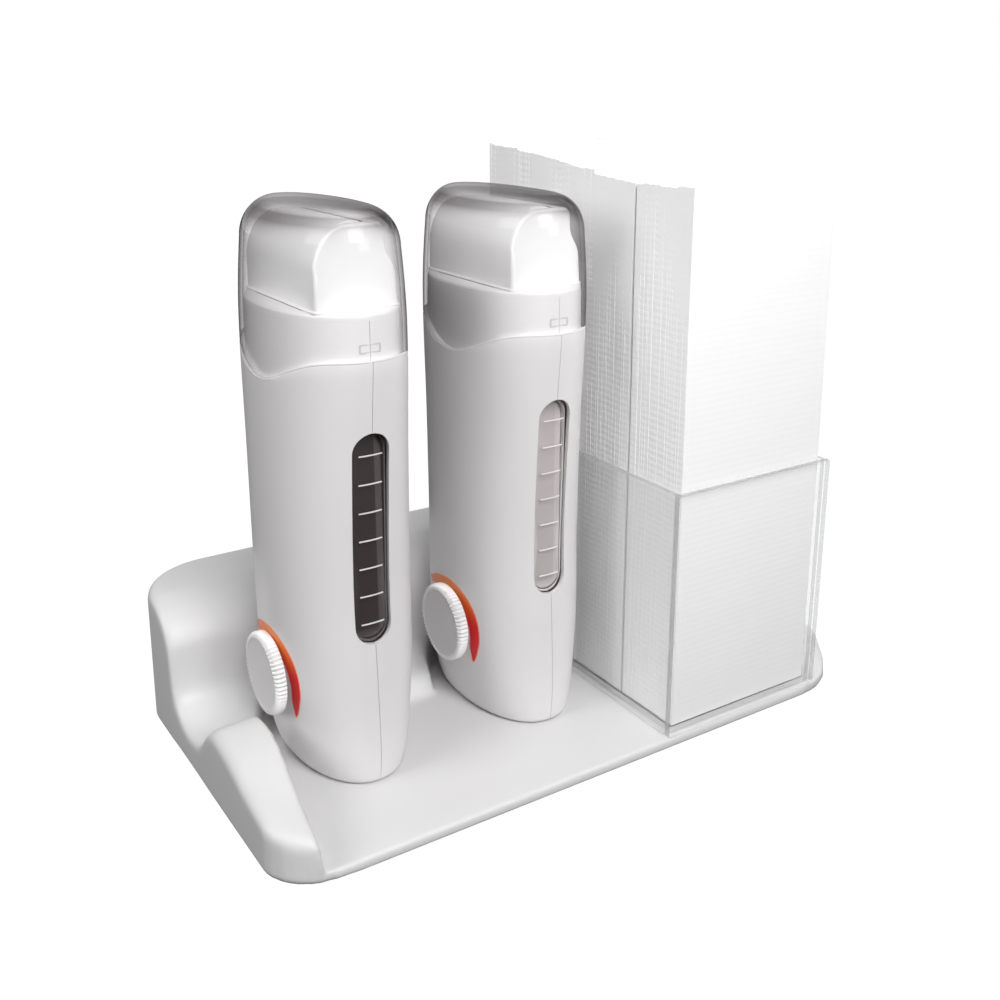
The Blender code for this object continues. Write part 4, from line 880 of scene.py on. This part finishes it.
def make_band(number, looks):
    """The printed heat mark round the dial, thin and orange behind, thick and red in front."""
    fine = [(-angle, near, far) for angle, near, far in BAND]
    first, last, count = fine[0][0], fine[-1][0], 100
    for name, grow, lift, look in (("edge", 0.45, 0.00007, "band_edge"), ("mark", 0.0, 0.00013, "band")):
        outer, inner = [], []
        for k in range(count + 1):
            angle = first + (last - first) * k / count
            near, far = smooth_steps(fine, angle)
            sine, cosine = math.sin(math.radians(-angle)), math.cos(math.radians(-angle))
            shift = {0: -grow * MM, count: grow * MM}.get(k, 0.0)
            line, under = [], []
            for c in range(7):
                r = (near - grow + (far - near + 2 * grow) * c / 6) * MM
                y, z = -DIAL_FORWARD - r * cosine - shift * sine, DIAL_HEIGHT + r * sine - shift * cosine
                x = -side_x(y, z) - lift
                line.append((x - 0.00005, y, z))
                under.append((x + 0.00003, y, z))
            outer.append(line)
            inner.append(under)
        made = panel(f"heater_{number}_heat_{name}", outer, inner, looks[look])
        hand_over(put(made, number), f"heater_{number}")


# The head's outline seen from its end, in millimetres from the heater's middle and its foot
HEAD_PROFILE = (
    (-16.1, 175.12), (-16.1, 175.5), (-15.25, 175.9), (-15.25, 188.4), (-15.1, 190.4), (-14.4, 193.2),
    (-13.2, 196.0), (-11.6, 198.6), (-9.4, 200.9), (-7.0, 202.4), (-4.7, 203.1), (-2.0, 203.3),
    (8.6, 203.3), (9.7, 203.0), (10.5, 202.2), (10.9, 200.6), (11.2, 195.4), (11.9, 193.2),
    (13.0, 191.2), (13.9, 189.2), (14.5, 186.6), (15.2, 175.9), (16.1, 175.5), (16.1, 175.12),
)


def make_head(number, looks):
    """The applicator block: D-shaped cheeks with the roller between them."""
    half, middle, foot = 0.030, 0.187, 0.18
    narrows_at, narrows_over, narrows = 0.1885, 0.0018, 0.026
    bore_radius, bore_height, bore_end = 0.0108, 0.1939, 0.0262
    rings = []
    for share, inset in mirrored([(-1.0, 0.9), (-0.99, 0.45), (-0.975, 0.18), (-0.955, 0.0)]):
        ring = []
        for x, z in HEAD_PROFILE:
            x, z = x * MM, z * MM
            pull = 1 - inset * MM / math.hypot(x, z - middle)
            width = 1 - narrows * min(1.0, max(0.0, (z - narrows_at) / narrows_over))
            ring.append((x * pull, half * share * width, middle + (z - middle) * pull if z > foot else z))
        rings.append(ring)
    head = lofted(f"cartridge_{number}_block", rings, looks["head_white"], sharp=28.0)
    bore = circle(bore_radius, (0.0, bore_height), 48)
    cut(head, [rod("bore", bore, (-bore_end, bore_end), 1, looks["head_white"])])
    shade(head.data, 28)
    hand_over(put(head, number), f"cartridge_{number}", f"cartridge_{number}_head")


def make_roller(number, looks):
    """The roller, from its ends and radii in millimetres."""
    rings = []
    for y, radius in mirrored([(-26.0, 8.6), (-25.9, 9.8), (-25.4, 10.3), (-24.6, 10.5)]):
        rings.append([(x, y * MM, z) for x, z in circle(radius * MM, (0.0, 0.1936), 64)])
    roller = lofted(f"cartridge_{number}_wheel", rings, looks["head_white"])
    hand_over(put(roller, number), f"roller_{number}", f"cartridge_{number}_roller")


# Base


def corners():
    """Each corner of the base's outline: its sides, the middle of its round, and its radius."""
    for across, along, radius in CORNERS:
        yield across, along, across * (BASE_LENGTH / 2 - radius), along * (BASE_DEPTH / 2 - radius), radius


def outline_depth(x, y):
    """How far inside the base's rounded outline points are, as an array."""
    depth = np.minimum(BASE_LENGTH / 2 - np.abs(x), BASE_DEPTH / 2 - np.abs(y))
    for across, along, cx, cy, radius in corners():
        beyond = (across * (x - cx) > 0) & (along * (y - cy) > 0)
        depth = np.where(beyond, radius - np.hypot(x - cx, y - cy), depth)
    return depth


def table_line(table, shares, height):
    xs = np.array([row[0] for row in table])
    fine = np.linspace(xs[0], xs[-1], 240)
    values = np.array([smooth_steps(table, s)[0] for s in fine])
    return np.interp(shares, fine, values) * height


def rounded(height, depth, radius):
    """Lowers a height near an edge as a quarter round does. Outside the edge it falls away."""
    d = np.clip(depth, 0.0, radius)
    return height - (radius - np.sqrt(np.maximum(radius**2 - (radius - d) ** 2, 0.0)))


def base_heights(x, y):
    run = y + BASE_DEPTH / 2
    share = run / BASE_DEPTH
    block = table_line(BLOCK_PROFILE_SHARES, share, BLOCK_HEIGHT)
    block = np.where(share < BLOCK_PROFILE_SHARES[0][0], 0.0, block)
    steps = np.linspace(0.0, 88.0, 240)
    edges = np.array([smooth_steps(LOBE_HEIGHTS, s) for s in steps]) * MM
    outer, inner = (np.interp(run / MM, steps, edges[:, k]) for k in (0, 1))
    width = LOBE_NOSE_WIDTH + (LOBE_WIDTH - LOBE_NOSE_WIDTH) * np.clip(run / LOBE_TAPER, 0.0, 1.0)
    across = x + BASE_LENGTH / 2
    lobe = outer + (inner - outer) * np.clip(across / width, 0.0, 1.0) ** 0.8
    lobe = np.where((across < width) & (share < 0.60), rounded(lobe, width - across, 0.0018), 0.0)
    rise = np.clip((run - 0.003) / RIM_RISE, 0.0, 1.0)
    rim = SLAB_HEIGHT + (RIM_HEIGHT - SLAB_HEIGHT) * (1 - np.cos(np.pi * rise)) / 2
    rim_depth = x - (BASE_LENGTH / 2 - RIM_WIDTH)
    rim = np.where(rim_depth > 0, rounded(rim, rim_depth, 0.0012), 0.0)
    height = np.maximum(np.maximum(block, lobe), np.maximum(rim, SLAB_HEIGHT))
    return np.where(pocket_mask(x, y, POCKET_CLEARANCE, BOX_FIT), SLAB_HEIGHT, height)


def pocket_mask(x, y, clearance, fit):
    half_thick, half_width = body_size(BODY_HEIGHT * BODY_PROFILE_SHARES[3][0])
    inside = np.zeros(x.shape, bool)
    for cx in HEATER_XS:
        u = np.abs(x - cx) / (half_thick + clearance)
        v = np.abs(y - HEATER_Y) / (half_width + clearance)
        inside |= u**ROUNDNESS + v**ROUNDNESS < 1
    inside |= (np.abs(x - BOX_X) < BOX_WIDTH / 2 + fit) & (y - BOX_Y < BOX_DEPTH / 2 + fit)
    return inside


def height_solid(name, heights, xs, ys, floor, look):
    """A closed solid under a grid of heights."""
    rows, columns = heights.shape
    gx, gy = np.meshgrid(xs, ys)
    top = np.stack([gx, gy, heights], -1).reshape(-1, 3)
    edge = [r * columns for r in range(rows)]
    loop = (
        list(range(columns)) + [r * columns + columns - 1 for r in range(1, rows)]
        + [(rows - 1) * columns + c for c in range(columns - 2, -1, -1)] + edge[-2:0:-1]
    )
    low = top[loop].copy()
    low[:, 2] = floor
    size = len(top)
    r, c = np.meshgrid(np.arange(rows - 1), np.arange(columns - 1), indexing="ij")
    a = (r * columns + c).ravel()
    faces = np.stack([a, a + 1, a + columns + 1, a + columns], -1).tolist()
    count = len(loop)
    for i in range(count):
        j = (i + 1) % count
        faces.append((loop[j], loop[i], size + i, size + j))
    faces.append(tuple(size + i for i in range(count))[::-1])
    return piece(name, np.concatenate([top, low]), faces, look, smooth=False)


def read_points(mesh):
    co = np.empty(len(mesh.vertices) * 3)
    mesh.vertices.foreach_get("co", co)
    return co.reshape(-1, 3)


def relax(mesh, rounds, weight):
    """Evens out a mesh in small steps. Weight gives each point's share of a full step."""
    co = read_points(mesh)
    count = len(co)
    edges = np.empty(len(mesh.edges) * 2, np.int64)
    mesh.edges.foreach_get("vertices", edges)
    a, b = edges.reshape(-1, 2).T
    number = np.bincount(a, minlength=count) + np.bincount(b, minlength=count)
    for k in range(rounds):
        total = np.stack(
            [np.bincount(a, co[b, i], count) + np.bincount(b, co[a, i], count) for i in range(3)], -1
        )
        step = total / np.maximum(number, 1)[:, None] - co
        co = co + step * weight(co, k)[:, None]
    mesh.vertices.foreach_set("co", co.ravel())
    mesh.update()


def base_outline(inset, steps=16):
    """The base's rounded outline seen from above, at an inset."""
    points = []
    for (_, _, cx, cy, radius), start in zip(corners(), (-0.5, 0.0, 0.5, 1.0)):
        for i in range(steps + 1):
            turn = math.pi * (start + 0.5 * i / steps)
            points.append((cx + (radius - inset) * math.cos(turn), cy + (radius - inset) * math.sin(turn)))
    return points


def tuck(co, radius):
    """Rounds the wall in at its foot, by a radius for each point."""
    step = 0.0002
    x, y, z = co.T
    slope_x = (outline_depth(x + step, y) - outline_depth(x - step, y)) / (2 * step)
    slope_y = (outline_depth(x, y + step) - outline_depth(x, y - step)) / (2 * step)
    over = np.clip(1 - (z - RIM_CLEARANCE) / radius, 0.0, 1.0)
    back = radius * (1 - np.sqrt(1 - over**2)) * np.clip(1 - outline_depth(x, y) / (2 * radius), 0.0, 1.0)
    return np.stack([x + slope_x * back, y + slope_y * back, z], -1)


# Height of the base's wall and the radius of its upper edge there
EDGE_RADII = ((0.005, 0.0010), (0.010, 0.003), (0.018, 0.0052), (0.035, 0.0055), (0.0575, 0.0045))


def make_base(looks):
    """The moulding, made as a field of heights, evened out, cut flat below and hollowed for its plate."""
    look, pitch, voxel, outside, floor = looks["base_white"], 0.0006, 0.0008, -0.010, -0.012
    xs, ys = (np.arange(-s / 2 - 3 * pitch, s / 2 + 3.5 * pitch, pitch) for s in (BASE_LENGTH, BASE_DEPTH))
    gx, gy = np.meshgrid(xs, ys)
    depth, heights = outline_depth(gx, gy), base_heights(gx, gy)
    heights = rounded(heights, depth, np.interp(heights, *zip(*EDGE_RADII)))
    heights = np.where(depth < 0, outside, heights)
    shell = height_solid("base_moulding", heights, xs, ys, floor, look)
    step = shell.modifiers.new("even", "REMESH")
    step.mode, step.voxel_size = "VOXEL", voxel
    settle(shell)

    def weight(co, k):
        """Less evening out low at the front, and none below the foot after three rounds."""
        near = outline_depth(co[:, 0], co[:, 1])
        low = (near < 0.003) & (co[:, 2] < 0.008) & (co[:, 1] < 0)
        crisp = np.where(low, 0.12, 0.5)
        crisp[co[:, 2] < 0.0] = 0.0 if k > 2 else 0.3
        return crisp

    relax(shell.data, 14, weight)
    bm = bmesh.new()
    bm.from_mesh(shell.data)
    result = bmesh.ops.bisect_plane(
        bm, geom=bm.verts[:] + bm.edges[:] + bm.faces[:], plane_co=(0, 0, RIM_CLEARANCE), plane_no=(0, 0, -1),
        clear_outer=True,
    )
    rim = [e for e in result["geom_cut"] if isinstance(e, bmesh.types.BMEdge)]
    bmesh.ops.contextual_create(bm, geom=rim)
    bm.to_mesh(shell.data)
    bm.free()
    co = read_points(shell.data)
    co = tuck(co, np.interp(co[:, 0], (-0.125, -0.105), (0.0028, 0.0010)))
    shell.data.vertices.foreach_set("co", co.ravel())
    recess = rod("recess", base_outline(0.0022), (-0.002, 0.0034), 2, look)
    low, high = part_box("power_inlet")
    middle, half_x, half_z = (low + high) / 2, 0.0108, 0.0073
    left, right, bottom, top = middle.x - half_x, middle.x + half_x, middle.z - half_z, middle.z + half_z
    hole = [(left, bottom), (right, bottom), (right, top), (left, top)]
    socket = rod("inlet_hole", hole, (0.062, 0.085), 1, look)
    cut(shell, [recess, socket])
    shade(shell.data, 50)
    shell.data.materials.clear()
    shell.data.materials.append(look)
    hand_over(shell, "base", "base_shell")


# Box and strips


def make_wall(side, looks):
    """One panel of the box, with its edges broken: clear faces, greyer edges and a paler foot, whose paleness
    is painted light against the shade there.
    """
    node = f"strip_box_{side}"
    low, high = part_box(node)
    size = list(high - low)
    thin = size.index(min(size))
    # The left and right panels take acrylic_side, whose extra white haze is painted light.
    face_look = "acrylic_side" if thin == 0 else "acrylic_clear"
    # The floor panel's edges and every panel's underside take acrylic_foot, a paler copy of the acrylic:
    # painted light against the shade at the box's foot.
    edge_look = "acrylic_foot" if side == "floor" else "acrylic_edge"
    plan = [(low.x, low.y), (high.x, low.y), (high.x, high.y), (low.x, high.y)]
    wall = rod(f"clear_box_{side}", plan, (low.z, high.z), 2, looks[face_look], smooth=False)
    wall.data.materials.append(looks[edge_look])
    wall.data.materials.append(looks["acrylic_foot"])
    bm = bmesh.new()
    bm.from_mesh(wall.data)
    bmesh.ops.bevel(bm, geom=bm.edges[:], offset=0.00025, segments=2, affect="EDGES", profile=0.5)
    bm.normal_update()
    for face in bm.faces:
        face.material_index = 0 if abs(face.normal[thin]) > 0.9 else 2 if face.normal.z < -0.3 else 1
    bm.to_mesh(wall.data)
    bm.free()
    hand_over(wall, "strip_box", node)


def make_bundle(name, node, body, rise, seed, looks):
    """A stack of single creped strips, each a thin sheet with its own height and sideways shift.

    The stack rises from front to rear, and leans to the left above the box.
    """
    low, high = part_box(node)
    rng = np.random.default_rng(seed)
    row_height, wave, long_wave = 0.0008, 0.0025, 0.11
    lean, lean_from, lean_over = 0.0016, 0.100, 0.115
    margin, jitter, crepe_deep, crepe_wide = 0.0005, 0.00004, 0.00001, 0.00005
    count = int(round((high.y - low.y) / 0.00072))
    pitch = (high.y - low.y) / count
    half = pitch * 0.99 / 2
    rows = int((high.z - low.z) / row_height)
    points, faces = [], []
    group, group_x, group_z = 0, 0.0, 0.0
    for k in range(count):
        if group == 0:
            group = int(rng.integers(5, 16))
            group_x = rng.normal(0.0, 0.00012)
            group_z = -abs(rng.normal(0.0, 0.0007))
        group -= 1
        top = high.z - rise * (1 - (k + 0.5) / count) + group_z - abs(rng.normal(0.0, 0.00018))
        z = np.linspace(low.z, top, rows)
        sway = 0.00022 * np.sin(2 * np.pi * z / long_wave + rng.normal(0, 0.4))
        phase = 0.35 * np.sin(k * 0.21) + rng.normal(0, 0.35)
        crepe = np.sin(2 * np.pi * z / wave + phase)
        leaning = lean * np.clip((z - lean_from) / lean_over, 0.0, 1.0)
        left, right = (
            edge + group_x + rng.normal(0, jitter) + crepe_wide * crepe + sway * 0.3 - leaning * part
            for edge, part in ((low.x + margin, 0.35), (high.x - margin, 1.0))
        )
        left, right = np.maximum(left, low.x), np.minimum(right, high.x)
        y = low.y + pitch * (k + 0.5) + crepe_deep * crepe
        start = len(points)
        for x0, x1, middle, height in zip(left, right, y, z):
            near, far = middle - half, middle + half
            points += [(x0, near, height), (x1, near, height), (x1, far, height), (x0, far, height)]
        faces += grid_quads(rows, 4, wrap=True, start=start)
        last = start + (rows - 1) * 4
        faces += [(start + 3, start + 2, start + 1, start), (last, last + 1, last + 2, last + 3)]
    bundle = piece(name, points, faces, looks["strip_white"], smooth=False)
    hand_over(bundle, body, node)


def main():
    make_camera()
    make_world()
    make_lights()
    looks = make_looks()
    make_floor(looks["floor"])
    for row in frame["record"]["subparts"]:
        node = frame["nodes"][row["node"]]
        node.data.materials.clear()
        node.data.materials.append(looks[row["material_slot"]])
    make_base(looks)
    for number in (1, 2):
        make_casing(number, "left", -1, looks)
        make_casing(number, "right", 1, looks)
        for make in (make_window, make_scale, make_collar, make_catch, make_cap, make_dial, make_band):
            make(number, looks)
        make_head(number, looks)
        make_roller(number, looks)
    for side in ("front", "back", "left", "right", "floor"):
        make_wall(side, looks)
    make_bundle("strips_front_stack", "strips_front", "front_bundle", 0.0, 5, looks)
    make_bundle("strips_rear_stack", "strips_rear", "rear_bundle", 0.0095, 8, looks)


main()
